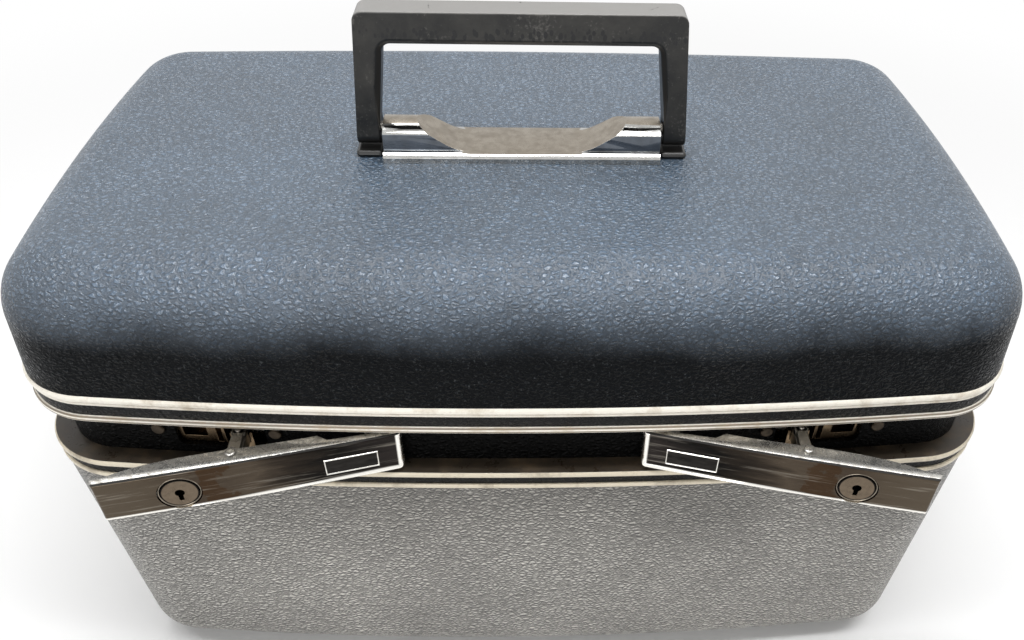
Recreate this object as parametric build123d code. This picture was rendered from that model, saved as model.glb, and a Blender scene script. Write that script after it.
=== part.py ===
from build123d import *
from math import atan2, cos, degrees, hypot, radians, sin, sqrt
import os

# A hard-shell cosmetic case (train case): a moulded base and lid, each edged by a beaded frame,
# with a groove round the case between them that holds two swing-out latch bars.
# Millimetres. Z up, origin at the middle of the flat underside, +Y towards the hinges.

os.makedirs("parts", exist_ok=True)

# Plan outline: the front and ends are bowed, the hinge side is almost straight, and the corners
# are arcs that run into them.
LENGTH = 343.0
FRONT_Y = -101.0
REAR_Y = 95.0
FRONT_BOW_R = 1571.0
REAR_BOW_R = 20000.0
SIDE_BOW_R = 1017.0
CORNER_R = 28.7

# Heights of the rings, from the floor up.
LEDGE_Z = 125.0
GROOVE_H = 19.3
BAND_H = 11.2
LID_H = 42.8
CROWN_H = 3.0
BASE_BAND_H = 7.8
RIM_Z = LEDGE_Z + GROOVE_H
LID_FOOT_Z = RIM_Z + BAND_H
LID_TOP_Z = LID_FOOT_Z + LID_H + CROWN_H
BASE_HEAD_Z = LEDGE_Z - BASE_BAND_H

# Moulded shells.
WALL = 3.0
SHELL_INSET = 0.8
LID_DRAFT = 4.3
BASE_DRAFT = 2.9
LID_EDGE_R = 23.5
BASE_EDGE_R = 20.5
CROWN_REACH_X = 220.0
CROWN_REACH_Y = 150.0
LINING = 1.4
SEAT_GAP = 0.1

# Collar: the upstand behind the groove, which the lid closes over.
COLLAR_INSET = 7.5
COLLAR_T = 1.6
COLLAR_FOOT_Z = 112.0
COLLAR_TOP_Z = 154.0
SHELF_INSET = 12.0

# Windows in the collar, and the pressed housings behind them. X is for the right-hand one.
WINDOW_X = 103.0
WINDOW_Z = 135.6
WINDOW_L = 30.6
WINDOW_H = 14.2
HOUSING_LOW_Z = 127.9
HOUSING_TOP_Z = 143.3
HOUSING_WALL = 1.0
BOLT_BOX = (87.0, 103.4)
LOCK_BOX = (102.4, 119.2)
STRAP = (81.5, 127.5)
RIVETS_X = (84.2, 124.0)
RIVET_R = 2.4

# Hinges, in the groove at the back.
HINGE_Y = 91.2
HINGE_Z = 139.4
HINGE_X = 90.0
HINGE_W = 38.0
KNUCKLE_R = 3.1
HINGE_PIN_R = 1.5
RUNNING_GAP = 0.06

# Latch bars. Sizes are for the right-hand bar, closed; the left one is its mirror image.
BAR_IN_X = 41.0
BAR_OUT_X = 137.8
BAR_LOW_Z = 125.8
BAR_TOP_Z = 142.8
BAR_SWING = 16.7
PIVOT_X = 47.1
PIVOT_INSET = 4.7
PIVOT_PIN_R = 1.0
COVER_T = 1.0
EAR_X = 95.3
EAR_Y = -93.0
LINK_LENGTH = 12.0
LINK_Z = 139.4
LINK_T = 1.4
BOLT_W = 5.0
BOLT_LOW_Z = 134.3
BOLT_TOP_Z = 139.2
STRIKE_Y = -87.0
LOCK_X = 113.2
LOCK_R = 6.9
PLUG_R = 5.9
PLAQUE_X = 58.7
PLAQUE_L = 18.0
PLAQUE_H = 7.2

# Carrying handle.
HANDLE_Y = -14.0
HANDLE_TOP_Z = LID_TOP_Z + 49.3
GRIP_H = 10.8
PIVOT_Z = LID_TOP_Z + 8.0
GRIP_DEPTH = 11.0
GRIP_FOOT = (49.0, 57.4)
HANDLE_PIN_R = 2.0
MOUNT_L = 96.0
MOUNT_D = 22.5
MOUNT_H = 11.4

# Mirror, on the lid's ceiling.
MIRROR_Y = 2.0
MIRROR_Z = LID_TOP_Z - 9.5
MIRROR_L = 206.0
MIRROR_W = 126.0
MIRROR_RIM = 6.0
MIRROR_R = 10.0

# Lift-out tray.
TRAY_FRONT_Y = -66.0
TRAY_BACK_Y = 78.0
TRAY_HALF_L = 154.0
TRAY_FLOOR_Z = 90.0
TRAY_TOP_Z = 122.0
TRAY_WALL = 2.0
TRAY_RIM = 5.0
CELL_X = 53.0
CELL_Y = 9.0
NOTCH_R = 15.0
NOTCH_DEPTH = 8.0


def corner_centre(bow_r, reach_y):
    """Centre of a right-hand corner arc, which touches the side bow and the bow whose middle is
    reach_y out from the origin, as if that bow were the front one."""
    bow = (0.0, bow_r - reach_y)
    side = (LENGTH / 2 - SIDE_BOW_R, 0.0)
    span = hypot(side[0] - bow[0], side[1] - bow[1])
    ux = (side[0] - bow[0]) / span
    uy = (side[1] - bow[1]) / span
    reach = bow_r - CORNER_R
    along = (reach**2 - (SIDE_BOW_R - CORNER_R) ** 2 + span**2) / (2 * span)
    off = sqrt(reach**2 - along**2)
    return bow[0] + ux * along - uy * off, bow[1] + uy * along + ux * off


def outline(inset):
    """The plan outline moved inwards by inset, as eight tangent arcs."""
    sx = LENGTH / 2 - SIDE_BOW_R
    side_x = LENGTH / 2 - inset
    side_r = SIDE_BOW_R - inset
    edges = []
    side_ends = []
    for bow_r, reach_y, up in ((FRONT_BOW_R, -FRONT_Y, 1), (REAR_BOW_R, REAR_Y, -1)):
        cx, cy = corner_centre(bow_r, reach_y)
        bow_y = bow_r - reach_y
        to_bow = (bow_r - inset) / hypot(cx, cy - bow_y)
        to_side = side_r / hypot(cx - sx, cy)
        bx, by = cx * to_bow, (bow_y + (cy - bow_y) * to_bow) * up
        gx, gy = sx + (cx - sx) * to_side, cy * to_side * up
        half_way = (atan2(cy - bow_y, cx) + atan2(cy, cx - sx)) / 2
        mx = cx + (CORNER_R - inset) * cos(half_way)
        my = (cy + (CORNER_R - inset) * sin(half_way)) * up
        for side in (1, -1):
            edges.append(ThreePointArc((side * bx, by), (side * mx, my), (side * gx, gy)))
        edges.append(ThreePointArc((-bx, by), (0, (inset - reach_y) * up), (bx, by)))
        side_ends.append((gx, gy))
    (ax, ay), (cx, cy) = side_ends
    for side in (1, -1):
        edges.append(ThreePointArc((side * ax, ay), (side * side_x, 0), (side * cx, cy)))
    return Wire(edges)


def plan(inset, z):
    """The plan outline as a face at height z."""
    return Pos(0, 0, z) * Face(outline(inset))


def slab(inset, low, high):
    """A plate of the plan outline."""
    return extrude(plan(inset, low), high - low, dir=(0, 0, 1))


def ring(outer, inner, low, high):
    """A band round the case between two insets."""
    return slab(outer, low, high) - slab(inner, low - 1, high + 1)


def bead(outer, inner, low, high, radius):
    """A band whose outer edges are rounded over."""
    plate = slab(outer, low, high)
    rims = [e for e in plate.edges() if abs(e.center().Z - (low + high) / 2) > 0.1]
    return fillet(rims, radius) - slab(inner, low - 1, high + 1)


def block(x0, x1, y0, y1, z0, z1):
    """A box between two corners."""
    return Pos((x0 + x1) / 2, (y0 + y1) / 2, (z0 + z1) / 2) * Box(x1 - x0, y1 - y0, z1 - z0)


def on_bow(x, inset):
    """The point at x on the front bow, inset behind the outer face."""
    return x, FRONT_BOW_R + FRONT_Y - sqrt((FRONT_BOW_R - inset) ** 2 - x * x)


def above_crown(top):
    """The space above the lid's top: crowned both ways in front, and flattening towards the back."""
    sections = []
    for y, fall_y, fall_x in ((-CROWN_REACH_Y, 2.6, 5.0), (0, 0, 5.0), (CROWN_REACH_Y, 4.2, 0.05)):
        z = top - fall_y
        edge = z - fall_x
        arc = ThreePointArc((-CROWN_REACH_X, edge), (0, z), (CROWN_REACH_X, edge))
        sky = top + 40
        reach = CROWN_REACH_X
        rest = Polyline((reach, edge), (reach, sky), (-reach, sky), (-reach, edge))
        upright = Plane(origin=(0, y, 0), x_dir=(1, 0, 0), z_dir=(0, -1, 0))
        sections.append(upright * make_face([arc, *rest.edges()]))
    return loft(sections)


def dome(inset, drop, edge_r):
    """The lid's form: drafted walls, a crowned top and a large radius between them."""
    walls = extrude(plan(inset, LID_FOOT_Z), LID_H + 8, dir=(0, 0, 1), taper=LID_DRAFT)
    form = walls - above_crown(LID_TOP_Z - drop)
    return fillet(form.faces().sort_by(Axis.Z)[-1].edges(), edge_r)


def tub(inset, floor, edge_r):
    """The base's form: drafted walls down to a flat floor with a large radius between them."""
    form = extrude(plan(inset, BASE_HEAD_Z), BASE_HEAD_Z - floor, dir=(0, 0, -1), taper=BASE_DRAFT)
    return fillet(form.faces().sort_by(Axis.Z)[0].edges(), edge_r)


def base_shell():
    return tub(SHELL_INSET, 0, BASE_EDGE_R) - tub(SHELL_INSET + WALL, WALL, BASE_EDGE_R - WALL)


def base_lining():
    outer = SHELL_INSET + WALL + SEAT_GAP
    radius = BASE_EDGE_R - WALL - SEAT_GAP
    form = tub(outer, WALL + SEAT_GAP, radius)
    hollow = tub(outer + LINING, WALL + SEAT_GAP + LINING, radius - LINING)
    head = block(-LENGTH, LENGTH, -LENGTH, LENGTH, COLLAR_FOOT_Z - 2.4, LEDGE_Z)
    return form - hollow - head


def base_frame():
    """Extruded frame: the ledge, two beads with a channel between them, and a web for the collar."""
    ledge = bead(0, COLLAR_INSET, LEDGE_Z - 2.6, LEDGE_Z, 1.0)
    channel = ring(2.0, COLLAR_INSET, BASE_HEAD_Z + 1.9, LEDGE_Z - 2.6)
    low_bead = bead(0.2, COLLAR_INSET, BASE_HEAD_Z, BASE_HEAD_Z + 1.9, 0.7)
    web = ring(COLLAR_INSET - 1.8, COLLAR_INSET, COLLAR_FOOT_Z - 2, BASE_HEAD_Z)
    relief = ring(3.6, COLLAR_INSET - 1.8, BASE_HEAD_Z - 1, LEDGE_Z - 1.8)
    return ledge + channel + low_bead + web - relief


def base_trim():
    return ring(0.9, 2.0, BASE_HEAD_Z + 1.9, LEDGE_Z - 2.6)


def collar():
    """Upstand with rounded windows for the latch housings."""
    band = ring(COLLAR_INSET, COLLAR_INSET + COLLAR_T, COLLAR_FOOT_Z, COLLAR_TOP_Z)
    for side in (-1, 1):
        window = Pos(side * WINDOW_X, -90, WINDOW_Z) * Box(WINDOW_L, 12, WINDOW_H)
        band -= fillet(window.edges().filter_by(Axis.Y), 2.5)
    return band


def lid_shell():
    return dome(SHELL_INSET, 0, LID_EDGE_R) - dome(SHELL_INSET + WALL, WALL, LID_EDGE_R - WALL)


def lid_lining():
    outer = SHELL_INSET + WALL + SEAT_GAP
    radius = LID_EDGE_R - WALL - SEAT_GAP
    form = dome(outer, WALL + SEAT_GAP, radius)
    hollow = dome(outer + LINING, WALL + SEAT_GAP + LINING, radius - LINING)
    foot = slab(0, LID_FOOT_Z - 1, LID_FOOT_Z + 1.3)
    return form - hollow - foot


def lid_frame():
    """Extruded frame: two beads with a channel between them, a closing flange and a shelf."""
    top_bead = bead(0, 3.2, LID_FOOT_Z - 2.6, LID_FOOT_Z, 1.1)
    fine_bead = bead(0.5, 3.2, LID_FOOT_Z - 4.0, LID_FOOT_Z - 2.6, 0.6)
    channel = ring(2.0, 3.2, RIM_Z + 2.6, LID_FOOT_Z - 4.0)
    low_bead = bead(0.2, 3.2, RIM_Z, RIM_Z + 2.6, 0.9)
    flange = ring(3.2, COLLAR_INSET - 1.4, RIM_Z, RIM_Z + 1.6)
    shelf = ring(3.2, SHELF_INSET, COLLAR_TOP_Z + 0.3, LID_FOOT_Z + 1.2)
    shell_seat = ring(0, 3.9, LID_FOOT_Z, LID_FOOT_Z + 2)
    return top_bead + fine_bead + channel + low_bead + flange + shelf - shell_seat


def lid_trim():
    return ring(0.9, 2.0, RIM_Z + 2.6, LID_FOOT_Z - 4.0)


def turned(x, y, angle):
    """A plan point turned about the latch pivot by angle degrees, clockwise from above."""
    px, py = on_bow(PIVOT_X, PIVOT_INSET)
    c, s = cos(radians(angle)), sin(radians(angle))
    dx, dy = x - px, y - py
    return px + c * dx + s * dy, py - s * dx + c * dy


def swung(shape):
    """A latch piece turned from closed to its open rest place."""
    px, py = on_bow(PIVOT_X, PIVOT_INSET)
    return Pos(px, py, 0) * Rot(0, 0, -BAR_SWING) * Pos(-px, -py, 0) * shape


def bar_span(outer, inner, low, high, x0, x1):
    """Part of a bowed bar between two insets, two heights and two distances along X."""
    return ring(outer, inner, low, high) & block(x0, x1, -LENGTH, 0, low, high)


def bow_normal(x):
    """Degrees by which the front bow's outward normal at x is turned from -Y towards +X."""
    return degrees(atan2(x, FRONT_BOW_R))


def across_bar(x, z, inset, shape):
    """Puts a shape drawn on the XY plane on the closed bar's face, with its +Z pointing outwards."""
    px, py = on_bow(x, 0)
    return Pos(px, py, z) * Rot(0, 0, bow_normal(x)) * Rot(90, 0, 0) * Pos(0, 0, -inset) * shape


BAR_MID_Z = (BAR_LOW_Z + BAR_TOP_Z) / 2
FACE_Z = BAR_MID_Z - 0.9


def latch_cover():
    """Pressed chrome cover, bowed like the case, with lips turned in and a round inner end."""
    skin = bar_span(0, 2.6, BAR_LOW_Z, BAR_TOP_Z, BAR_IN_X, BAR_OUT_X)
    uprights = skin.edges().filter_by(Axis.Z)
    skin = fillet([e for e in uprights if e.center().X < BAR_IN_X + 1 and e.center().Y < -99], 2.2)
    fold = [e for e in skin.edges() if e.length > 80 and e.center().Y < on_bow(89, 1.2)[1]]
    skin = fillet(fold, 0.7)
    x0, x1 = BAR_IN_X + COVER_T, BAR_OUT_X - COVER_T
    hollow = bar_span(COVER_T, 3.0, BAR_LOW_Z + COVER_T, BAR_TOP_Z - COVER_T, x0, x1)
    lip = bar_span(1.9, 3.0, BAR_LOW_Z - 1, BAR_TOP_Z + 1, x0, x1)
    hole = across_bar(LOCK_X, FACE_Z, 4, extrude(Circle(LOCK_R), 8))
    half_l, half_h = PLAQUE_L / 2, PLAQUE_H / 2
    recess = bar_span(-0.5, 0.4, FACE_Z - half_h, FACE_Z + half_h, PLAQUE_X - half_l, PLAQUE_X + half_l)
    return swung(skin - hollow - lip - hole - recess)


def latch_plaque():
    """Blank inlay that sits in the cover's shallow recess."""
    half_l = PLAQUE_L / 2 - 0.25
    half_h = PLAQUE_H / 2 - 0.25
    inlay = bar_span(0.1, 0.4, FACE_Z - half_h, FACE_Z + half_h, PLAQUE_X - half_l, PLAQUE_X + half_l)
    return swung(inlay)


def latch_carrier():
    """Zinc carrier: a web inside the cover, a lens-shaped top flange with an ear, and a pivot barrel."""
    low = BAR_LOW_Z + COVER_T + 0.05
    high = BAR_TOP_Z - COVER_T - 0.05
    web = bar_span(COVER_T + 0.05, 2.6, low, high, BAR_IN_X + 2.4, BAR_OUT_X - COVER_T - 0.3)
    lens_line = ((136.6, 2.0), (129.0, 4.6), (118.0, 6.4), (92.0, 6.8), (68.0, 6.4))
    rear = Spline(*[on_bow(x, inset) for x, inset in lens_line])
    step = Polyline(on_bow(68.0, 6.4), on_bow(65.0, 3.6), on_bow(52.0, 3.0), on_bow(49.5, 2.0))
    front = ThreePointArc(on_bow(49.5, 2.0), on_bow(93.0, 2.0), on_bow(136.6, 2.0))
    lens = Face(Wire([rear, *step.edges(), front]))
    flange = extrude(Pos(0, 0, BAR_TOP_Z - 1.8) * lens, 1.7, dir=(0, 0, 1))
    ear = Pos(EAR_X, EAR_Y, BAR_TOP_Z - 0.95) * Cylinder(2.7, 1.7)
    px, py = on_bow(PIVOT_X, PIVOT_INSET)
    barrel = Pos(px, py, BAR_MID_Z) * Cylinder(1.9, 7.8)
    tongue = bar_span(2.4, 4.0, BAR_MID_Z - 3.9, BAR_MID_Z + 3.9, PIVOT_X - 1.6, PIVOT_X + 1.6)
    bore = Pos(px, py, BAR_MID_Z) * Cylinder(PIVOT_PIN_R + RUNNING_GAP, 20)
    eye = Pos(EAR_X, EAR_Y, BAR_TOP_Z) * Cylinder(1.0, 8)
    hole = across_bar(LOCK_X, FACE_Z, 4, extrude(Circle(LOCK_R), 8))
    return swung(web + flange + ear + barrel + tongue - bore - eye - hole)


def link_pin():
    """Rivet with a domed head, through the ear and the link."""
    low = LINK_Z - 0.5
    shank = Pos(EAR_X, EAR_Y, (low + BAR_TOP_Z) / 2) * Cylinder(0.98, BAR_TOP_Z - low)
    head = Pos(EAR_X, EAR_Y, BAR_TOP_Z + 0.3) * Cylinder(1.7, 0.8)
    head = fillet(head.edges().sort_by(Axis.Z)[-1], 0.5)
    return swung(shank + head)


def lock_bezel():
    """Ring round the lock, flush with the cover, and the cylinder body behind it."""
    body = extrude(Circle(LOCK_R - 0.02), 4.0)
    bore = extrude(Circle(PLUG_R + 0.06), 8.0)
    return swung(across_bar(LOCK_X, FACE_Z, 4.2, body - bore))


def lock_plug():
    """Turning plug with a warded keyhole and, behind it, a tail with a cross-cam."""
    disc = extrude(Circle(PLUG_R), 4.0)
    keyhole = extrude(Circle(1.5) + Pos(0, -1.7) * Rectangle(1.5, 3.6), 3.0)
    tail = Pos(0, 0, -7.0) * extrude(Circle(1.6), 7.0)
    cam = Pos(0, 0, -7.0) * extrude(Rectangle(6.8, 2.6), 1.4)
    return swung(across_bar(LOCK_X, FACE_Z, 4.1, disc - Pos(0, 0, 1.2) * keyhole + tail + cam))


def ear_open():
    return turned(EAR_X, EAR_Y, BAR_SWING)


def bolt_x():
    """The bolt's track, midway between the ear's two places."""
    return (EAR_X + ear_open()[0]) / 2


def bolt_pin_y():
    """The bolt's pin with the latch open."""
    ex, ey = ear_open()
    return ey + sqrt(LINK_LENGTH**2 - (bolt_x() - ex) ** 2)


def latch_link():
    """Flat link from the ear to the bolt, with a round eye and a slotted eye."""
    ex, ey = ear_open()
    bx, by = bolt_x(), bolt_pin_y()
    lean = degrees(atan2(bx - ex, by - ey))
    strip = Pos(0, LINK_LENGTH / 2) * Rectangle(3.6, LINK_LENGTH)
    strip += Circle(2.3) + Pos(0, LINK_LENGTH) * Circle(2.5)
    slot = Pos(0, LINK_LENGTH) * SlotOverall(3.4, 2.2)
    flat = extrude(strip - Circle(1.04) - slot, LINK_T)
    return Pos(ex, ey, LINK_Z) * Rot(0, 0, -lean) * flat


def latch_bolt():
    """Sliding bolt with a chamfered nose and the pin that the link pulls."""
    bx, by = bolt_x(), bolt_pin_y()
    bar = block(bx - BOLT_W / 2, bx + BOLT_W / 2, by - 8, by + 6.2, BOLT_LOW_Z, BOLT_TOP_Z)
    bar = chamfer(bar.faces().sort_by(Axis.Y)[-1].edges(), 0.8)
    pin = Pos(bx, by, BOLT_TOP_Z + 1.1) * Cylinder(1.0, 2.6)
    return bar + pin


def pressed_box(span_x, back_y):
    """Open-fronted box between the housing's heights, and its hollow."""
    front = -89.0
    wall = HOUSING_WALL
    x0, x1 = span_x
    box = block(x0, x1, front, back_y, HOUSING_LOW_Z, HOUSING_TOP_Z)
    inner = (HOUSING_LOW_Z + wall, HOUSING_TOP_Z - wall)
    hollow = block(x0 + wall, x1 - wall, front - 6, back_y - wall, *inner)
    return box - hollow, hollow


def bolt_guide():
    """Two-part trough that the bolt slides in, open between its parts for the strike."""
    bx = bolt_x()
    half = BOLT_W / 2 + 1.2
    top = BOLT_TOP_Z - 0.8
    guide = block(bx - half, bx + half, -93.8, STRIKE_Y - 1.2, HOUSING_LOW_Z, top)
    guide += block(bx - half, bx + half, STRIKE_Y + 2.7, -72.5, HOUSING_LOW_Z, top)
    track = BOLT_W / 2 + 0.2
    guide -= block(bx - track, bx + track, -95, -73, BOLT_LOW_Z - 0.2, BOLT_TOP_Z + 1)
    behind_collar = on_bow(bx, COLLAR_INSET + COLLAR_T)[1] + 0.1
    return guide - block(bx - half, bx + half, -95, behind_collar, HOUSING_LOW_Z - 1, HOUSING_LOW_Z + 1.2)


def latch_housing():
    """Pressed housing behind the collar's window: bolt box and guide, strap, and lock keeper."""
    bx = bolt_x()
    back_of_collar = COLLAR_INSET + COLLAR_T + SEAT_GAP
    clear = slab(back_of_collar, HOUSING_LOW_Z - 9, HOUSING_TOP_Z + 9)
    strap = bar_span(back_of_collar, back_of_collar + 0.8, 125.4, 145.6, *STRAP)
    walls = []
    for span_x, back_y in ((BOLT_BOX, -72.0), (LOCK_BOX, -79.5)):
        box, hollow = pressed_box(span_x, back_y)
        walls.append(box & clear)
        strap -= hollow
    top = HOUSING_TOP_Z
    strike_slot = block(bx - 7.2, bx + 7.2, STRIKE_Y - 1.0, STRIKE_Y + 2.4, top - 2, top + 1)
    keeper = across_bar(LOCK_X, FACE_Z, 9.4, extrude(Rectangle(14.6, 13.6), 1.2))
    keeper += across_bar(LOCK_X, FACE_Z, 9.4, extrude(Circle(PLUG_R) - Circle(PLUG_R - 0.8), 1.9))
    keeper -= across_bar(LOCK_X, FACE_Z, 11, extrude(Rectangle(8.2, 4.0), 5))
    return walls[0] + walls[1] + strap + bolt_guide() + (keeper & clear) - strike_slot


def latch_bracket():
    """Bracket on the collar with two lugs for the bar's pivot pin."""
    px, py = on_bow(PIVOT_X, PIVOT_INSET)
    span_x = (PIVOT_X - 5.5, PIVOT_X + 6.5)
    bracket = bar_span(COLLAR_INSET - 0.8, COLLAR_INSET, BAR_LOW_Z + 1.4, BAR_TOP_Z - 1.4, *span_x)
    for z in (BAR_MID_Z - 5.1, BAR_MID_Z + 5.1):
        bracket += Pos(px, py, z) * Cylinder(1.9, 2.0)
        bracket += block(px - 1.9, px + 1.9, py, on_bow(px, COLLAR_INSET - 0.4)[1], z - 1.0, z + 1.0)
    return bracket - Pos(px, py, BAR_MID_Z) * Cylinder(PIVOT_PIN_R, 20)


def latch_pivot_pin():
    px, py = on_bow(PIVOT_X, PIVOT_INSET)
    return Pos(px, py, BAR_MID_Z) * Cylinder(PIVOT_PIN_R, 13.0)


def strike():
    """Steel strike under the lid's shelf, with an eye that the bolt passes through."""
    bx = bolt_x()
    top = COLLAR_TOP_Z + 0.3
    tab = block(bx - 6.0, bx + 6.0, STRIKE_Y, STRIKE_Y + 1.5, 131.8, top)
    tab = fillet([e for e in tab.edges().filter_by(Axis.Y) if e.center().Z < 132], 2.0)
    tab -= block(bx - 3.4, bx + 3.4, STRIKE_Y - 1, STRIKE_Y + 3, 133.4, 142.4)
    foot = block(bx - 6.0, bx + 6.0, STRIKE_Y, STRIKE_Y + 6.2, top - 1.4, top)
    return tab + foot


def collar_rivets():
    """Domed rivets that hold the housings to the collar."""
    heads = []
    for x in RIVETS_X:
        px, py = on_bow(x, COLLAR_INSET)
        head = Cylinder(RIVET_R, 1.0)
        head = fillet(head.edges().sort_by(Axis.Z)[-1], 0.7)
        outwards = Rot(0, 0, bow_normal(x)) * Rot(90, 0, 0)
        head = Pos(px, py, WINDOW_Z + 0.2) * outwards * Pos(0, 0, 0.5) * head
        heads += [head, mirror(head, about=Plane.YZ)]
    return Compound(heads)


def hinge_leaf(centre_x, low_leaf):
    """One leaf of a hinge with its knuckles; the other leaf has the knuckles between."""
    pitch = HINGE_W / 5
    half = pitch / 2 - 0.15
    end = HINGE_W / 2 - 0.15
    if low_leaf:
        strap = ring(COLLAR_INSET - 1.3, COLLAR_INSET, 127.0, HINGE_Z - KNUCKLE_R - 0.4)
        leaf = strap & block(centre_x - end, centre_x + end, 0, LENGTH, 100, 200)
    else:
        leaf = block(centre_x - end, centre_x + end, HINGE_Y - 2.7, HINGE_Y + 2.9, RIM_Z - 1.3, RIM_Z)
    for n in range(5):
        if (n % 2 == 0) != low_leaf:
            continue
        x = centre_x + (n - 2) * pitch
        leaf += Pos(x, HINGE_Y, HINGE_Z) * Rot(0, 90, 0) * Cylinder(KNUCKLE_R, 2 * half)
        if low_leaf:
            leaf += block(x - half, x + half, HINGE_Y - 5.7, HINGE_Y + 1.4, HINGE_Z - 4.8, HINGE_Z - 2.4)
        else:
            leaf += block(x - half, x + half, HINGE_Y - 1.4, HINGE_Y + 2.6, HINGE_Z, RIM_Z - 0.8)
    bore_r = HINGE_PIN_R if low_leaf else HINGE_PIN_R + RUNNING_GAP
    bore = Pos(centre_x, HINGE_Y, HINGE_Z) * Rot(0, 90, 0) * Cylinder(bore_r, 2 * HINGE_W)
    return leaf - bore - slab(COLLAR_INSET, COLLAR_FOOT_Z, COLLAR_TOP_Z)


def hinge_pin(centre_x):
    return Pos(centre_x, HINGE_Y, HINGE_Z) * Rot(0, 90, 0) * Cylinder(HINGE_PIN_R, HINGE_W + 1.0)


def handle_mount():
    """Cast saddle: two barrel-topped end blocks, a ridged skirt round them, and a scoop between."""
    front = HANDLE_Y - MOUNT_D / 2
    back = HANDLE_Y + MOUNT_D / 2
    foot_z = LID_TOP_Z - 1.5
    ridge_z = LID_TOP_Z + 3.3
    shoulder_z = LID_TOP_Z + 8.6
    top_z = LID_TOP_Z + MOUNT_H
    outline_yz = [
        Polyline((back, foot_z), (front, foot_z), (front, ridge_z - 1.4), (front + 1.6, ridge_z)),
        Polyline((front + 1.6, ridge_z), (front + 3.2, ridge_z - 0.1), (front + 3.9, shoulder_z)),
        ThreePointArc((front + 3.9, shoulder_z), (HANDLE_Y, top_z), (back - 3.9, shoulder_z)),
        Polyline((back - 3.9, shoulder_z), (back - 3.2, ridge_z - 0.1), (back - 1.6, ridge_z)),
        Polyline((back - 1.6, ridge_z), (back, ridge_z - 1.4), (back, foot_z)),
    ]
    section = make_face([e for part in outline_yz for e in part.edges()])
    bar = Pos(-MOUNT_L / 2, 0, 0) * extrude(Plane.YZ * section, MOUNT_L)
    dip_z = LID_TOP_Z + 3.0
    sky_z = top_z + 6
    left = Spline((-37, top_z + 0.5), (-28, LID_TOP_Z + 6.2), (-18, dip_z), tangents=((0.8, -0.6), (1, 0)))
    right = Spline((18, dip_z), (28, LID_TOP_Z + 6.2), (37, top_z + 0.5), tangents=((1, 0), (0.8, 0.6)))
    lid = Polyline((37, top_z + 0.5), (37, sky_z), (-37, sky_z), (-37, top_z + 0.5))
    scoop = make_face([left, Line((-18, dip_z), (18, dip_z)), right, *lid.edges()])
    cutter = extrude(Plane.XZ * scoop, 30, both=True)
    bore = Pos(0, HANDLE_Y, PIVOT_Z) * Rot(0, 90, 0) * Cylinder(HANDLE_PIN_R, MOUNT_L + 2)
    bore -= block(-43.0, 43.0, -LENGTH, LENGTH, 0, 2 * LID_TOP_Z)
    return (bar - cutter - bore) & above_crown(LID_TOP_Z)


def handle_pads():
    """Black bearing pads on the lid under the handle's feet."""
    pads = []
    for side in (-1, 1):
        x = side * (MOUNT_L / 2 + 5.1)
        pad = Pos(x, HANDLE_Y, LID_TOP_Z + 0.2) * Box(9.4, 14.0, 3.6)
        pad = fillet(pad.edges().filter_by(Axis.Z), 1.5)
        pads.append(pad & above_crown(LID_TOP_Z))
    return Compound(pads)


def handle_pins():
    """Pivot pins from the end blocks into the handle's feet."""
    pins = []
    for side in (-1, 1):
        x = side * (MOUNT_L / 2 + 1.0)
        pins.append(Pos(x, HANDLE_Y, PIVOT_Z) * Rot(0, 90, 0) * Cylinder(HANDLE_PIN_R, 12.0))
    return Compound(pins)


def handle_grip():
    """Moulded bail: a deep grip bar on two legs that splay slightly and end in round feet."""
    bar_low_z = HANDLE_TOP_Z - GRIP_H
    foot_low_z = PIVOT_Z - GRIP_DEPTH / 2
    foot_in, foot_out = GRIP_FOOT
    half = [
        (foot_out - 4.0, HANDLE_TOP_Z),
        (foot_out, foot_low_z),
        (foot_in, foot_low_z),
        (foot_in, PIVOT_Z + 5.0),
        (foot_in - 3.8, bar_low_z),
    ]
    loop = half + [(-x, z) for x, z in reversed(half)]
    form = extrude(Plane.XZ * make_face(Polyline(*loop, close=True)), GRIP_DEPTH / 2, both=True)
    form = Pos(0, HANDLE_Y, 0) * form
    for height, radius in ((HANDLE_TOP_Z, 3.4), (bar_low_z, 3.0)):
        corners = [e for e in form.edges().filter_by(Axis.Y) if abs(e.center().Z - height) < 0.5]
        form = fillet(corners, radius)
    rims = [e for e in form.edges() if abs(abs(e.center().Y - HANDLE_Y) - GRIP_DEPTH / 2) < 0.01]
    inner = [e for e in rims if bar_low_z - 4 < e.center().Z < bar_low_z + 1 and abs(e.center().X) < 46]
    inner += [e for e in rims if PIVOT_Z + 6 < e.center().Z < bar_low_z and abs(e.center().X) < 49]
    form = chamfer(list(set(inner)), 1.8)
    foot_trim = block(-70, 70, HANDLE_Y - 20, HANDLE_Y + 20, foot_low_z - 5, PIVOT_Z)
    foot_trim -= Pos(0, HANDLE_Y, PIVOT_Z) * Rot(0, 90, 0) * Cylinder(GRIP_DEPTH / 2, 150)
    bore = Pos(0, HANDLE_Y, PIVOT_Z) * Rot(0, 90, 0) * Cylinder(HANDLE_PIN_R + RUNNING_GAP, MOUNT_L + 14.6)
    return form - foot_trim - bore


def handle_plate():
    """Steel plate inside the lid that spreads the handle's load."""
    z = LID_TOP_Z - WALL - LINING - SEAT_GAP * 2 - 0.4
    return Pos(0, HANDLE_Y, z - 0.8) * Box(84.0, 18.0, 1.4)


def mirror_plate(length, width, thickness, radius):
    """A round-cornered plate centred on the origin."""
    return fillet(Box(length, width, thickness).edges().filter_by(Axis.Z), radius)


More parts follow.
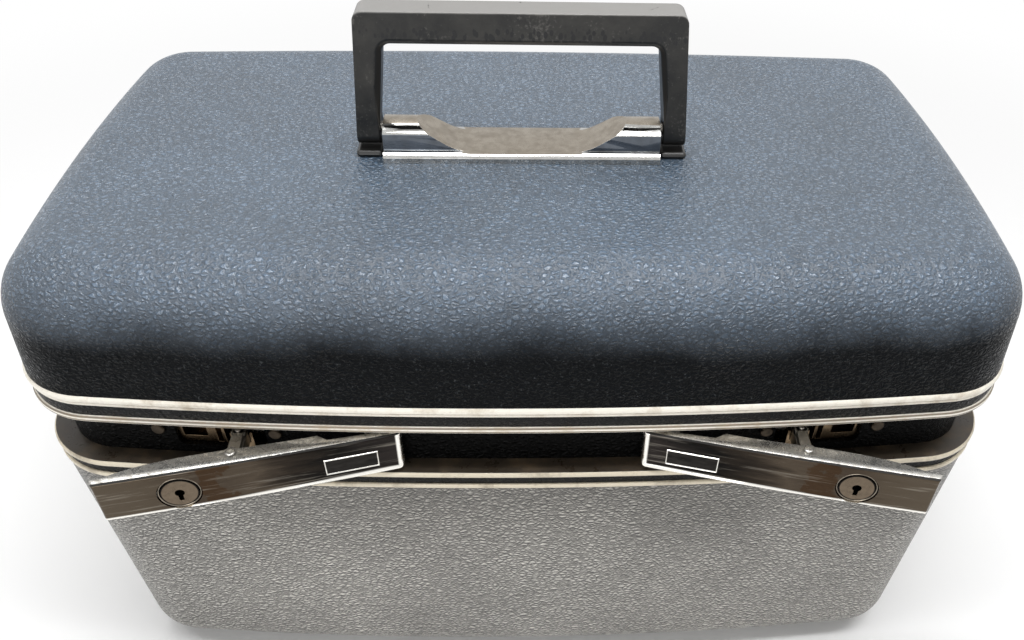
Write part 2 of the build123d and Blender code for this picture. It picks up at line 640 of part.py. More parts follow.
def mirror_frame():
    rim = mirror_plate(MIRROR_L, MIRROR_W, 5.0, MIRROR_R)
    window = mirror_plate(MIRROR_L - 2 * MIRROR_RIM, MIRROR_W - 2 * MIRROR_RIM, 8.0, MIRROR_R - 4)
    rebate = mirror_plate(MIRROR_L - MIRROR_RIM - 1, MIRROR_W - MIRROR_RIM - 1, 2.8, MIRROR_R - 2)
    return Pos(0, MIRROR_Y, MIRROR_Z) * (rim - window - Pos(0, 0, 1.1) * rebate)


def mirror_glass():
    glass = mirror_plate(MIRROR_L - MIRROR_RIM - 2, MIRROR_W - MIRROR_RIM - 2, 2.4, MIRROR_R - 2.5)
    return Pos(0, MIRROR_Y, MIRROR_Z + 1.0) * glass


def mirror_screws():
    screws = []
    for x in (-98.5, 98.5):
        for y in (-52.0, 52.0):
            screws.append(Pos(x, y + MIRROR_Y, MIRROR_Z - 2.8) * Cylinder(2.0, 0.6))
    return Compound(screws)


def tray_blank(inset, low, high):
    """The tray's plan form, a rectangle with round corners."""
    x1 = TRAY_HALF_L - inset
    form = block(-x1, x1, TRAY_FRONT_Y + inset, TRAY_BACK_Y - inset, low, high)
    return fillet(form.edges().filter_by(Axis.Z), 20.0 - inset)


def tray():
    """Moulded lift-out tray: rolled rim, end cells, two cells between, and notches for the fingers."""
    body = tray_blank(3.0, TRAY_FLOOR_Z, TRAY_TOP_Z)
    body = fillet(body.faces().sort_by(Axis.Z)[0].edges(), 4.0)
    rim = tray_blank(0.0, TRAY_TOP_Z - 2.6, TRAY_TOP_Z)
    form = body + fillet(rim.faces().sort_by(Axis.Z)[-1].edges(), 1.0)
    end_x = TRAY_HALF_L - TRAY_RIM
    front_y, back_y = TRAY_FRONT_Y + TRAY_RIM, TRAY_BACK_Y - TRAY_RIM
    half = TRAY_WALL / 2
    cells = [(-end_x, -CELL_X - half, front_y, back_y), (CELL_X + half, end_x, front_y, back_y)]
    cells.append((-CELL_X + half, CELL_X - half, front_y, CELL_Y - half))
    cells.append((-CELL_X + half, CELL_X - half, CELL_Y + half, back_y))
    for span in cells:
        cell = block(*span, TRAY_FLOOR_Z + TRAY_WALL, TRAY_TOP_Z + 5)
        cell = fillet(cell.edges().filter_by(Axis.Z), 6.0)
        form -= fillet(cell.faces().sort_by(Axis.Z)[0].edges(), 3.0)
    notch = Rot(0, 90, 0) * Cylinder(NOTCH_R, 14.0)
    mid_y = (TRAY_FRONT_Y + TRAY_BACK_Y) / 2
    for x in (-TRAY_HALF_L, TRAY_HALF_L):
        form -= Pos(x, mid_y, TRAY_TOP_Z + NOTCH_R - NOTCH_DEPTH) * notch
    return form


def tray_rail():
    """Ledge on the side wall that carries one end of the tray."""
    rail = ring(6.9, 27.0, TRAY_FLOOR_Z - 4.2, TRAY_FLOOR_Z - SEAT_GAP)
    return rail & block(120, 200, -55, 62, 0, 200)


def save(name, shape):
    export_step(shape, f"parts/{name}.step")


for name, make in (
    ("base_shell", base_shell),
    ("base_lining", base_lining),
    ("base_frame", base_frame),
    ("base_trim_strip", base_trim),
    ("collar", collar),
    ("collar_rivets", collar_rivets),
    ("lid_shell", lid_shell),
    ("lid_lining", lid_lining),
    ("lid_frame", lid_frame),
    ("lid_trim_strip", lid_trim),
    ("handle_mount", handle_mount),
    ("handle_pads", handle_pads),
    ("handle_pins", handle_pins),
    ("handle_grip", handle_grip),
    ("handle_plate", handle_plate),
    ("mirror_frame", mirror_frame),
    ("mirror_glass", mirror_glass),
    ("mirror_screws", mirror_screws),
    ("tray", tray),
):
    save(name, make())

for stem, make in (
    ("latch_cover", latch_cover),
    ("latch_carrier", latch_carrier),
    ("latch_plaque", latch_plaque),
    ("latch_link", latch_link),
    ("latch_link_pin", link_pin),
    ("latch_bolt", latch_bolt),
    ("latch_housing", latch_housing),
    ("latch_bracket", latch_bracket),
    ("latch_pivot_pin", latch_pivot_pin),
    ("lock_bezel", lock_bezel),
    ("lock_plug", lock_plug),
    ("strike", strike),
    ("tray_rail", tray_rail),
):
    right = make()
    save(f"{stem}_right", right)
    save(f"{stem}_left", mirror(right, about=Plane.YZ))

for side, x in (("left", -HINGE_X), ("right", HINGE_X)):
    save(f"hinge_base_leaf_{side}", hinge_leaf(x, True))
    save(f"hinge_lid_leaf_{side}", hinge_leaf(x, False))
    save(f"hinge_pin_{side}", hinge_pin(x))

pivot = on_bow(PIVOT_X, PIVOT_INSET)
closed_lean = degrees(atan2(bolt_x() - EAR_X, LINK_LENGTH))
open_lean = degrees(atan2(bolt_x() - ear_open()[0], LINK_LENGTH))
print("latch pivot", pivot, "ear open", ear_open(), "bolt pin", bolt_x(), bolt_pin_y())
print("bolt travel", EAR_Y - ear_open()[1], "link lean open and closed", open_lean, closed_lean)
lock_at = turned(*on_bow(LOCK_X, 0), BAR_SWING)
print("lock face centre", lock_at, "axis turned from -Y by", bow_normal(LOCK_X) - BAR_SWING)
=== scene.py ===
import contextlib
import math

import bmesh
import bpy
import numpy as np
from mathutils import Matrix, Vector


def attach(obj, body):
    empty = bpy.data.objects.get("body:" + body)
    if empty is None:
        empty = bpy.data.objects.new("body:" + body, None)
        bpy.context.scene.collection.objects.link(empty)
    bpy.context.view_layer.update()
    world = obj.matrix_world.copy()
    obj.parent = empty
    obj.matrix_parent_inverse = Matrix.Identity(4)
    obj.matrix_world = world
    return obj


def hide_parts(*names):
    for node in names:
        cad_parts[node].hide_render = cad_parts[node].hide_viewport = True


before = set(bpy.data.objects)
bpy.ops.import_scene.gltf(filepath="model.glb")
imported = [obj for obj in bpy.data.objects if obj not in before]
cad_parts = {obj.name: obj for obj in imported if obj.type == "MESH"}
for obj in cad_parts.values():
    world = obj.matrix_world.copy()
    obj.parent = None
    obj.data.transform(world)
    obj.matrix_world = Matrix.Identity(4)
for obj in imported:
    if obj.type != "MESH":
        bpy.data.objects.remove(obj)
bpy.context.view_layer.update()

MM = 0.001

# ---------------------------------------------------------------------------
# The camera stands in front of the case and looks down on it, as a person does who is about to
# open it. Its place, turn and lens were fitted to the rings, the outline and the latch bars.
CAMERA_AT = (0.001968, -0.310857, 0.358018)
CAMERA_PITCH = 0.7484
CAMERA_YAW = -0.0514
CAMERA_ROLL = 0.0320
FOCAL_PX = 908.208
CENTRE_PX = (563.053, 393.398)
IMAGE_PX = (1024, 640)


def new_object(name, data):
    """An object of the scene that carries the data."""
    made = bpy.data.objects.new(name, data)
    bpy.context.scene.collection.objects.link(made)
    return made


ahead = Vector((0, math.cos(CAMERA_PITCH), -math.sin(CAMERA_PITCH)))
above = Vector((0, math.sin(CAMERA_PITCH), math.cos(CAMERA_PITCH)))
yaw = Matrix.Rotation(CAMERA_YAW, 3, "Z")
ahead, level_above, level_beside = yaw @ ahead, yaw @ above, yaw @ Vector((1, 0, 0))
beside = math.cos(CAMERA_ROLL) * level_beside + math.sin(CAMERA_ROLL) * level_above
above = math.cos(CAMERA_ROLL) * level_above - math.sin(CAMERA_ROLL) * level_beside

camera_data = bpy.data.cameras.new("camera")
camera_data.sensor_width = 36.0
camera_data.lens = FOCAL_PX / IMAGE_PX[0] * camera_data.sensor_width
camera_data.shift_x = (IMAGE_PX[0] / 2 - CENTRE_PX[0]) / IMAGE_PX[0]
camera_data.shift_y = (CENTRE_PX[1] - IMAGE_PX[1] / 2) / IMAGE_PX[0]
camera_data.clip_start = 0.01
camera = new_object("camera", camera_data)
camera.matrix_world = Matrix.Translation(CAMERA_AT) @ Matrix((beside, above, -ahead)).transposed().to_4x4()
bpy.context.scene.camera = camera


# ---------------------------------------------------------------------------
# The studio: a white paper sweep under the case, lit by a soft box and a strip overhead and a fill
# from the front. The paper and the white room behind it also show in the bright metal.
ROOM_LIGHT = 0.16
FLOOR_HALF = 6.0
# Distances from the case between which the paper turns as white as the room.
SHADOW_ENDS, WHITE_FROM = 0.3, 0.8
# Each lamp: its name, its place, what it faces, its two sides in metres and its watts.
LAMPS = (
    ("soft box overhead", (0.1, 0.16, 1.5), (0, 0, 0.1), (1.8, 0.5), 14),
    ("strip above the front", (0.0, -0.30, 1.5), (0, -0.1, 0.1), (1.8, 0.14), 11),
    ("fill from the front", (-0.5, -1.3, 0.7), (0, 0, 0.05), (1.0, 0.8), 7),
)


def colour(hex_code):
    """The linear colour of an sRGB hex value."""
    parts = [int(hex_code[i : i + 2], 16) / 255 for i in (1, 3, 5)]
    return (*[p / 12.92 if p <= 0.04045 else ((p + 0.055) / 1.055) ** 2.4 for p in parts], 1.0)


def set_up(tree, node, **settings):
    """Sets up a node. A key is in_ and an input's number, an input's name with underscores for
    spaces, or a property's name. A value that is a socket is linked, and any other is set."""
    named = {entry.name.lower(): entry for entry in node.inputs}
    for key, value in settings.items():
        if key.startswith("in_"):
            target = node.inputs[int(key[3:])]
        else:
            target = named.get(key.replace("_", " "))
        if target is None:
            setattr(node, key, value)
        elif isinstance(value, bpy.types.NodeSocket):
            tree.links.new(value, target)
        else:
            target.default_value = value
    return node


def add(tree, kind, **settings):
    """Adds one node and sets it up."""
    return set_up(tree, tree.nodes.new(kind), **settings)


def maths(tree, operation, *values):
    """The number that a Math node gives for some values."""
    numbered = {f"in_{k}": value for k, value in enumerate(values)}
    return add(tree, "ShaderNodeMath", operation=operation, **numbered).outputs["Value"]


def remap(tree, value, low, high, to_low=0.0, to_high=1.0, kind="LINEAR"):
    """A value carried from one range over to another, and held at its ends."""
    ends = {"in_1": low, "in_2": high, "in_3": to_low, "in_4": to_high}
    return add(tree, "ShaderNodeMapRange", interpolation_type=kind, in_0=value, **ends).outputs["Result"]


def new_material(name):
    """A new material: itself, its tree, its Principled shader, and its Object coordinates."""
    made = bpy.data.materials.new(name)
    made.use_nodes = True
    tree = made.node_tree
    return made, tree, tree.nodes["Principled BSDF"], add(tree, "ShaderNodeTexCoord").outputs["Object"]


def seen_rays(tree):
    """1 for rays from the camera, off glossy metal and through glass, and 0 for all others."""
    rays = add(tree, "ShaderNodeLightPath").outputs
    seen = maths(tree, "MAXIMUM", rays["Is Camera Ray"], rays["Is Glossy Ray"])
    return maths(tree, "MAXIMUM", seen, rays["Is Transmission Ray"])


def add_mesh(name, points, quads):
    """A smooth mesh object at the origin from an array of points and one of quads."""
    mesh = bpy.data.meshes.new(name)
    mesh.from_pydata(points.tolist(), [], quads.tolist())
    mesh.update()
    mesh.polygons.foreach_set("use_smooth", np.full(len(mesh.polygons), True))
    return new_object(name, mesh)


world = bpy.data.worlds.new("white room")
bpy.context.scene.world = world
world.use_nodes = True
room = world.node_tree
room.nodes.clear()
lit = add(room, "ShaderNodeBackground", color=colour("#ffffff"), strength=ROOM_LIGHT).outputs[0]
shown = add(room, "ShaderNodeBackground", color=colour("#ffffff"), strength=1.0).outputs[0]
both = add(room, "ShaderNodeMixShader", in_0=seen_rays(room), in_1=lit, in_2=shown).outputs[0]
add(room, "ShaderNodeOutputWorld", surface=both)

for name, at, aim, size, watts in LAMPS:
    light = bpy.data.lights.new(name, "AREA")
    light.shape = "RECTANGLE"
    light.size, light.size_y = size
    light.energy = watts
    lamp = new_object(name, light)
    lamp.location = at
    lamp.rotation_euler = (Vector(aim) - Vector(at)).to_track_quat("-Z", "Y").to_euler()

white_paper, tree, shader, place = new_material("white paper sweep")
set_up(tree, shader, base_color=colour("#ffffff"), roughness=0.9, specular_ior_level=0.1)
distance = add(tree, "ShaderNodeVectorMath", operation="LENGTH", in_0=place).outputs["Value"]
far = remap(tree, distance, SHADOW_ENDS, WHITE_FROM, kind="SMOOTHSTEP")
share = maths(tree, "MULTIPLY", far, seen_rays(tree))
glow = add(tree, "ShaderNodeEmission", color=colour("#ffffff"), strength=1.0).outputs[0]
faded = add(tree, "ShaderNodeMixShader", in_0=share, in_1=shader.outputs[0], in_2=glow).outputs[0]
set_up(tree, tree.nodes["Material Output"], surface=faded)
floor_corners = np.array([(-1, -1, 0), (1, -1, 0), (1, 1, 0), (-1, 1, 0)]) * FLOOR_HALF
floor = add_mesh("floor", floor_corners, np.array([(0, 1, 2, 3)]))
floor.data.materials.append(white_paper)

bpy.context.scene.view_settings.view_transform = "Standard"


# ---------------------------------------------------------------------------
# Plan outline of the case. Every ring, shell and strip follows it: bowed front and ends, an almost
# straight hinge side, and corner arcs that run into them. From here on the lengths of shapes are
# in mm, and those in materials are in metres.
LENGTH = 343.0
FRONT_Y = -101.0
REAR_Y = 95.0
FRONT_BOW_R = 1571.0
REAR_BOW_R = 20000.0
SIDE_BOW_R = 1017.0
CORNER_R = 28.7
# How near, in metres, points are merged, and how short an edge is dissolved.
MERGED = 2e-6
DISSOLVED = 1e-7
# Width in metres that is asked for at every eased edge. No piece has that much room, so it is the
# modifier's overlap clamp that sets how far the edges of each piece are eased.
EASED = 0.2


def quarter_line(bow_r, reach_y, bow_steps=36, corner_steps=18, side_steps=20):
    """Points and normals of a quarter of the outline, from the middle of a bow whose depth is
    reach_y to just before the middle of the right end. Each arc is centre + radius (cos a, sin a)."""
    bow = np.array((0.0, bow_r - reach_y))
    side = np.array((LENGTH / 2 - SIDE_BOW_R, 0.0))
    span = np.linalg.norm(side - bow)
    unit = (side - bow) / span
    reach = bow_r - CORNER_R
    along = (reach**2 - (SIDE_BOW_R - CORNER_R) ** 2 + span**2) / (2 * span)
    corner = bow + unit * along + np.array((-unit[1], unit[0])) * math.sqrt(reach**2 - along**2)
    to_bow = math.atan2(*(corner - bow)[::-1])
    to_side = math.atan2(*(corner - side)[::-1])
    points, normals = [], []
    arcs = (
        (bow, bow_r, -math.pi / 2, to_bow, bow_steps),
        (corner, CORNER_R, to_bow, to_side, corner_steps),
        (side, SIDE_BOW_R, to_side, 0.0, side_steps),
    )
    for centre, radius, start, end, steps in arcs:
        a = np.linspace(start, end, steps, endpoint=False)
        out = np.stack((np.cos(a), np.sin(a)), 1)
        points.append(centre + radius * out)
        normals.append(out)
    return np.concatenate(points), np.concatenate(normals)


def plan_line():
    """The whole outline and its normals, anticlockwise from the middle of the front."""
    front = quarter_line(FRONT_BOW_R, -FRONT_Y)
    rear = quarter_line(REAR_BOW_R, REAR_Y)
    whole = []
    for low, high, end in ((front[0], rear[0], (LENGTH / 2, 0.0)), (front[1], rear[1], (1.0, 0.0))):
        right = np.concatenate((low, [end], high[:0:-1] * (1, -1)))
        whole.append(np.concatenate((right, high[:1] * (1, -1), right[:0:-1] * (-1, 1))))
    return whole


PLAN, PLAN_OUT = plan_line()


def quads_of(rows, columns, close_rows=False, close_columns=False):
    """Quads of a grid whose point number is row * columns + column."""
    r = np.arange(rows if close_rows else rows - 1)[:, None]
    c = np.arange(columns if close_columns else columns - 1)[None, :]
    r2, c2 = (r + 1) % rows, (c + 1) % columns
    corners = (r * columns + c, r * columns + c2, r2 * columns + c2, r2 * columns + c)
    return np.stack([np.broadcast_to(k, (r.shape[0], c.shape[1])).ravel() for k in corners], 1)


def round_mesh(name, rows, close_rows=False):
    """A mesh from rows of points in mm, each row a closed line round the case."""
    return add_mesh(name, rows.reshape(-1, 3) * MM, quads_of(*rows.shape[:2], close_rows, close_columns=True))


@contextlib.contextmanager
def reworked(mesh):
    """A bmesh of a mesh, which is written back to it at the end."""
    work = bmesh.new()
    work.from_mesh(mesh)
    yield work
    work.to_mesh(mesh)
    work.free()


def close_up(made):
    """Merges doubled points and turns every face outwards."""
    with reworked(made.data) as work:
        bmesh.ops.remove_doubles(work, verts=work.verts, dist=MERGED)
        bmesh.ops.dissolve_degenerate(work, edges=work.edges, dist=DISSOLVED)
        bmesh.ops.recalc_face_normals(work, faces=work.faces)
    made.data.update()
    return made


def sharpen(made, degrees):
    """Smooth faces, with the edges sharp where they turn by more than an angle."""
    mesh = made.data
    mesh.polygons.foreach_set("use_smooth", np.full(len(mesh.polygons), True))
    mesh.set_sharp_from_angle(angle=math.radians(degrees))
    return made


def finish(made, matter, body, finish_slot, *nodes):
    """Gives a piece its material and body, and hides the CAD nodes that it stands for. Its finish_slot is not
    used.
    """
    if matter is not None:
        made.data.materials.append(matter)
    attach(made, body)
    if nodes:
        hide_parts(*nodes)
    return made


def from_node(node, name, matter, body, finish_slot, turn_over=25, segments=2):
    """A finished copy of a CAD node: merged, its flat facets joined, and its edges eased where they
    turn by more than turn_over degrees."""
    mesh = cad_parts[node].data.copy()
    mesh.name = name
    mesh.materials.clear()
    with reworked(mesh) as work:
        bmesh.ops.remove_doubles(work, verts=work.verts, dist=MERGED)
        bmesh.ops.dissolve_limit(work, angle_limit=math.radians(0.5), verts=work.verts, edges=work.edges)
    made = sharpen(new_object(name, mesh), turn_over)
    ease = made.modifiers.new("eased edges", "BEVEL")
    ease.width = EASED
    ease.segments = segments
    ease.limit_method = "ANGLE"
    ease.angle_limit = math.radians(turn_over)
    return finish(made, matter, body, finish_slot, node)


# ---------------------------------------------------------------------------
# Embossed vinyl: PVC on cloth, calendered with a fine morocco grain of pebbles 1 to 2.5 mm across.
# Its skin has a low satin gloss, so the pebbles' crowns glint, and the valleys between are painted darker as
# painted shade.
# How far, in metres, the edge between the wall's colour and the top's wanders up and down.
EDGE_WANDER = 0.016


def vector_maths(tree, operation, *values):
    """The vector that a Vector Math node gives for some values."""
    numbered = {f"in_{k}": value for k, value in enumerate(values)}
    return add(tree, "ShaderNodeVectorMath", operation=operation, **numbered).outputs["Vector"]


def scaled(tree, vector, factor):
    """A vector or colour times a number."""
    return add(tree, "ShaderNodeVectorMath", operation="SCALE", in_0=vector, in_3=factor).outputs["Vector"]


def noise(tree, at, size, detail, roughness=0.5, output="Fac"):
    """Cloudy noise at a place, whose largest lumps are size metres apart."""
    lumps = {"scale": 1 / size, "detail": detail, "roughness": roughness}
    return add(tree, "ShaderNodeTexNoise", vector=at, **lumps).outputs[output]


def blend(tree, share, low, high):
    """The colour that lies a share of the way from one to another, each a hex value or a socket."""
    low, high = (colour(tone) if isinstance(tone, str) else tone for tone in (low, high))
    return add(tree, "ShaderNodeMix", data_type="RGBA", in_0=share, in_6=low, in_7=high).outputs[2]


def bumped(tree, height, strength, depth):
    """The normal of a skin with a relief of a height, depth metres deep."""
    return add(tree, "ShaderNodeBump", strength=strength, distance=depth, height=height).outputs[0]


def grain_height(tree, at, grain):
    """Height of the grain at a place, from 0 to about 2.6: the crowns of stretched cells whose
    outlines wander, plus fine wrinkles and a coarse swell. Gives the crowns' share too."""
    wander = noise(tree, at, 0.0022, 3.0, 0.6, "Color")
    shifted = vector_maths(tree, "MULTIPLY_ADD", wander, (0.0020,) * 3, at)
    drawn = vector_maths(tree, "MULTIPLY", shifted, (0.72, 1.0, 1.15))
    pebbles = add(tree, "ShaderNodeTexVoronoi", feature="DISTANCE_TO_EDGE", vector=drawn, scale=1 / grain)
    crowns = remap(tree, pebbles.outputs["Distance"], 0.0, 0.36, kind="SMOOTHSTEP")
    wrinkled = maths(tree, "MULTIPLY_ADD", noise(tree, at, 0.0007, 3.0, 0.6), 0.45, crowns)
    return maths(tree, "MULTIPLY_ADD", noise(tree, drawn, 0.0020, 2.0), 1.2, wrinkled), crowns


def vinyl(
    name, wall, top, low_z, high_z, worn, wear_and_painted_light, shine,
    grain=0.00165, relief=0.00032, rough=0.31, painted_valley_shade=0.62, painted_flank_light=0.2,
):
    """The covering's material: the wall's colour and shine below low_z, and the top's above high_z;
    where the two colours differ, that is painted light and shade. The valleys between the pebbles
    are painted darker as painted shade, the pebbles' upper flanks lighter and lower flanks darker as
    painted light from above, and pale specks of the worn colour stand for wear and for painted glints."""
    made, tree, shader, place = new_material(name)
    height, crowns = grain_height(tree, place, grain)
    # Painted light from above: the pebbles' upper flanks are painted lighter and their lower flanks darker,
    # from the fall of the height between here and 0.5 mm higher.
    raised = vector_maths(tree, "ADD", place, (0, 0, 0.0005))
    flank = maths(tree, "SUBTRACT", height, grain_height(tree, raised, grain)[0])
    painted_flank_factor = remap(tree, flank, -0.75, 0.75, 1 - painted_flank_light, 1 + painted_flank_light)
    # The wall's colour and the top's, blended by height: on the lid the darker wall is painted shade and the
    # paler top painted light from above; on the base the paler low wall is a painted reflection of the floor.
    z = add(tree, "ShaderNodeSeparateXYZ", vector=place).outputs["Z"]
    edge_z = maths(tree, "MULTIPLY_ADD", noise(tree, place, 0.035, 4.0, 0.6), EDGE_WANDER, z)
    rise = remap(tree, edge_z, low_z + EDGE_WANDER / 2, high_z + EDGE_WANDER / 2, kind="SMOOTHSTEP")
    patch = remap(tree, noise(tree, place, 0.06, 5.0, 0.62), 0.35, 0.72, 0.82, 1.14)
    dim = scaled(tree, blend(tree, rise, wall, top), patch)
    # Painted shade: the valleys between the pebbles are painted darker.
    shade = maths(tree, "MULTIPLY", remap(tree, height, 0.7, 2.0, painted_valley_shade, 1.3), painted_flank_factor)
    # Pale specks of the worn colour: wear, and painted glints on the lid's top.
    specks = remap(tree, noise(tree, place, 0.0009, 3.0, 0.7), 0.60, 0.74, 0.0, wear_and_painted_light)
    set_up(
        tree,
        shader,
        base_color=blend(tree, specks, scaled(tree, dim, shade), worn),
        roughness=remap(tree, crowns, 0.0, 0.8, rough + 0.18, rough - 0.09),
        specular_ior_level=remap(tree, rise, 0.0, 1.0, *shine),
        normal=bumped(tree, height, 1.0, relief),
    )
    return made


# Lid shell: moulded in ABS 3 mm thick, with drafted walls, a slight crown and a large radius
# between them. The navy vinyl is drawn over it and tucked in behind the frame.
LID_FOOT_Z = 155.5
LID_TOP_Z = 201.3
LID_DRAFT = math.radians(4.3)
LID_EDGE_R = 23.5
WALL = 3.0
SHELL_INSET = 0.8
SPINE_SHARE = 0.42
CROWN_X = 220.0
CROWN_Y = 150.0


def crown_z(x, y, top):
    """Height of the crowned top. With t = y / 150 it is the top's height, less 0.8 t + 3.4 t^2, and
    less (5 - 2.475 t - 2.475 t^2) (x / 220)^2."""
    t = y / CROWN_Y
    fall = 0.8 * t + 3.4 * t * t
    side_fall = 5.0 - 2.475 * t - 2.475 * t * t
    return top - fall - side_fall * (x / CROWN_X) ** 2


def cap_rows(ring, height, rows):
    """Rows that shrink a ring to a line along X: (1 - w) * point + w * (share * x, 0), where x is
    the mean of the point's own and that of the point across the case."""
    n = len(ring)
    across = ring[(n // 2 - np.arange(n)) % n, 0]
    w = np.linspace(0, 1, rows + 1)[1:, None]
    x = ring[None, :, 0] * (1 - w) + w * SPINE_SHARE * (ring[:, 0] + across) / 2
    y = ring[None, :, 1] * (1 - w)
    return np.stack((x, y, height(x, y)), 2)


def dome_rows(inset, drop, edge_r, wall_rows=8, arc_rows=22, top_rows=26):
    """The lid's surface in rows from foot to ridge. In the upright plane through each outline point
    the wall leans in by the draft, then an arc of edge_r touches both the wall and the crown."""
    top = LID_TOP_Z - drop
    middle_z = np.full(len(PLAN), top - edge_r)
    for _ in range(6):
        middle_in = inset + (middle_z - LID_FOOT_Z) * math.tan(LID_DRAFT) + edge_r / math.cos(LID_DRAFT)
        x, y = (PLAN - PLAN_OUT * middle_in[:, None]).T
        near = np.stack((x, y), 1) + PLAN_OUT
        fall = crown_z(x, y, top) - crown_z(near[:, 0], near[:, 1], top)
        middle_z = crown_z(x, y, top) - edge_r * np.sqrt(1 + fall**2)
    a = LID_DRAFT + (np.pi / 2 - np.arctan(fall) - LID_DRAFT) * np.linspace(0, 1, arc_rows)[:, None]
    arc_in = middle_in - edge_r * np.cos(a)
    arc_z = middle_z + edge_r * np.sin(a)
    share = np.linspace(0, 1, wall_rows, endpoint=False)[:, None]
    wall_z = LID_FOOT_Z + share * (arc_z[0] - LID_FOOT_Z)
    wall_in = inset + (wall_z - LID_FOOT_Z) * math.tan(LID_DRAFT)
    rows_in = np.concatenate((wall_in, arc_in))
    rows_z = np.concatenate((wall_z, arc_z))
    flat = PLAN[None] - PLAN_OUT[None] * rows_in[:, :, None]
    body = np.concatenate((flat, rows_z[:, :, None]), 2)
    cap = cap_rows(body[-1], lambda x, y: crown_z(x, y, top), top_rows)
    return np.concatenate((body, cap))


def shell_from(name, inner, outer):
    """A closed shell: the inner surface from its middle to the rim, then the outer one back."""
    return sharpen(close_up(round_mesh(name, np.concatenate((inner[::-1], outer)))), 40)


# The lid's wall is painted near black and its top pale slate: painted shade on the wall and painted light
# from above on the top. Its pale specks stand for wear and for painted glints on the top.
navy_vinyl = vinyl(
    "embossed navy vinyl",
    wall="#03060a",
    top="#4c5d6f",
    low_z=0.173,
    high_z=0.196,
    worn="#c5ccd0",
    wear_and_painted_light=0.13,
    shine=(0.07, 0.9),
    rough=0.27,
    painted_flank_light=0.25,
)
lid_skin = shell_from(
    "lid_skin",
    dome_rows(SHELL_INSET + WALL, WALL, LID_EDGE_R - WALL),
    dome_rows(SHELL_INSET, 0, LID_EDGE_R),
)
finish(lid_skin, navy_vinyl, "lid", "blue_vinyl", "lid_shell")


# Base shell: the same moulding the other way up, with a flat underside. Its charcoal vinyl is
# painted grey, partly for dust and handling and partly as a painted reflection of the pale floor, and
# it is painted paler low on the walls, where that painted reflection of the floor is strongest.
BASE_HEAD_Z = 117.2
BASE_DRAFT = math.radians(2.9)
BASE_EDGE_R = 20.5


def tub_rows(inset, floor, edge_r, wall_rows=10, arc_rows=18, floor_rows=14):
    """The base's surface in rows from its head down to the middle of its floor: a wall that leans
    in by the draft, an arc of edge_r touching wall and floor, and rows that shrink to a line."""
    middle_z = floor + edge_r
    middle_in = inset + (BASE_HEAD_Z - middle_z) * math.tan(BASE_DRAFT) + edge_r / math.cos(BASE_DRAFT)
    a = -np.linspace(BASE_DRAFT, math.pi / 2, arc_rows)
    arc_in = middle_in - edge_r * np.cos(a)
    arc_z = middle_z + edge_r * np.sin(a)
    wall_z = np.linspace(BASE_HEAD_Z, arc_z[0], wall_rows, endpoint=False)
    wall_in = inset + (BASE_HEAD_Z - wall_z) * math.tan(BASE_DRAFT)
    rows_in = np.concatenate((wall_in, arc_in))
    rows_z = np.concatenate((wall_z, arc_z))
    flat = PLAN[None] - PLAN_OUT[None] * rows_in[:, None, None]
    body = np.concatenate((flat, np.broadcast_to(rows_z[:, None, None], (*flat.shape[:2], 1))), 2)
    return np.concatenate((body, cap_rows(body[-1], lambda x, y: np.full_like(x, floor), floor_rows)))


base_vinyl_dust_and_reflection = vinyl(
    "embossed charcoal vinyl, greyed",
    wall="#a8a59f",
    top="#8a8781",
    low_z=0.06,
    high_z=0.125,
    worn="#e2dfd8",
    wear_and_painted_light=0.12,
    shine=(0.5, 0.5),
    relief=0.0005,
    painted_valley_shade=0.5,
    painted_flank_light=0.8,
)
base_skin = shell_from(
    "base_skin",
    tub_rows(SHELL_INSET + WALL, WALL, BASE_EDGE_R - WALL),
    tub_rows(SHELL_INSET, 0, BASE_EDGE_R),
)
finish(base_skin, base_vinyl_dust_and_reflection, "case", "blue_vinyl", "base_shell")


# ---------------------------------------------------------------------------
# Frames: extruded in an ivory plastic that has yellowed. Each carries rounded beads with taupe
# lines between them, and the base's also has the broad ledge that the latch bars lie on. The base's
# frame is painted darker than the lid's, and the top of its ledge dark brown, as painted shade under the lid.
RIM_Z = 144.3
LEDGE_Z = 125.0


def bead_line(inset, low, high, radius, steps=6):
    """Half profile of a bead from its top edge to its low edge: quarter circles of one radius."""
    a = np.linspace(np.pi / 2, 0, steps)
    upper = np.stack((inset + radius - radius * np.cos(a), high - radius + radius * np.sin(a)), 1)
    lower = np.stack((inset + radius - radius * np.cos(a), low + radius - radius * np.sin(a)), 1)[::-1]
    return np.concatenate((upper, lower))


def carried_round(name, profile):
    """A closed profile of (inset, height) in mm carried round the outline: outline - normal * inset."""
    flat = PLAN[None] - PLAN_OUT[None] * profile[:, None, 0:1]
    z = np.broadcast_to(profile[:, None, 1:2], (*flat.shape[:2], 1))
    return sharpen(close_up(round_mesh(name, np.concatenate((flat, z), 2), close_rows=True)), 50)


def away(tree, value, middle):
    """How far a value is from a middle one."""
    return maths(tree, "ABSOLUTE", maths(tree, "SUBTRACT", value, middle))


def frame_plastic(name, cream, taupe, dirt, lines):
    """Yellowed ivory extrusion: taupe in the recess lines, given as pairs of low and high z in mm,
    with brown dirt in patches and fine pits."""
    made, tree, shader, place = new_material(name)
    z = add(tree, "ShaderNodeSeparateXYZ", vector=place).outputs["Z"]
    mask = None
    for low, high in lines:
        half = (high - low) / 2 * MM
        band = remap(tree, away(tree, z, (low + high) / 2 * MM), half, half * 0.8)
        mask = band if mask is None else maths(tree, "MAXIMUM", mask, band)
    stain = noise(tree, place, 0.011, 6.0, 0.7)
    amount = remap(tree, stain, 0.5, 0.75, 0.0, 0.7)
    set_up(
        tree,
        shader,
        base_color=blend(tree, amount, blend(tree, mask, cream, taupe), dirt),
        roughness=remap(tree, stain, 0.4, 0.7, 0.26, 0.55),
        normal=bumped(tree, noise(tree, place, 0.0012, 4.0), 0.25, 0.0001),
    )
    return made


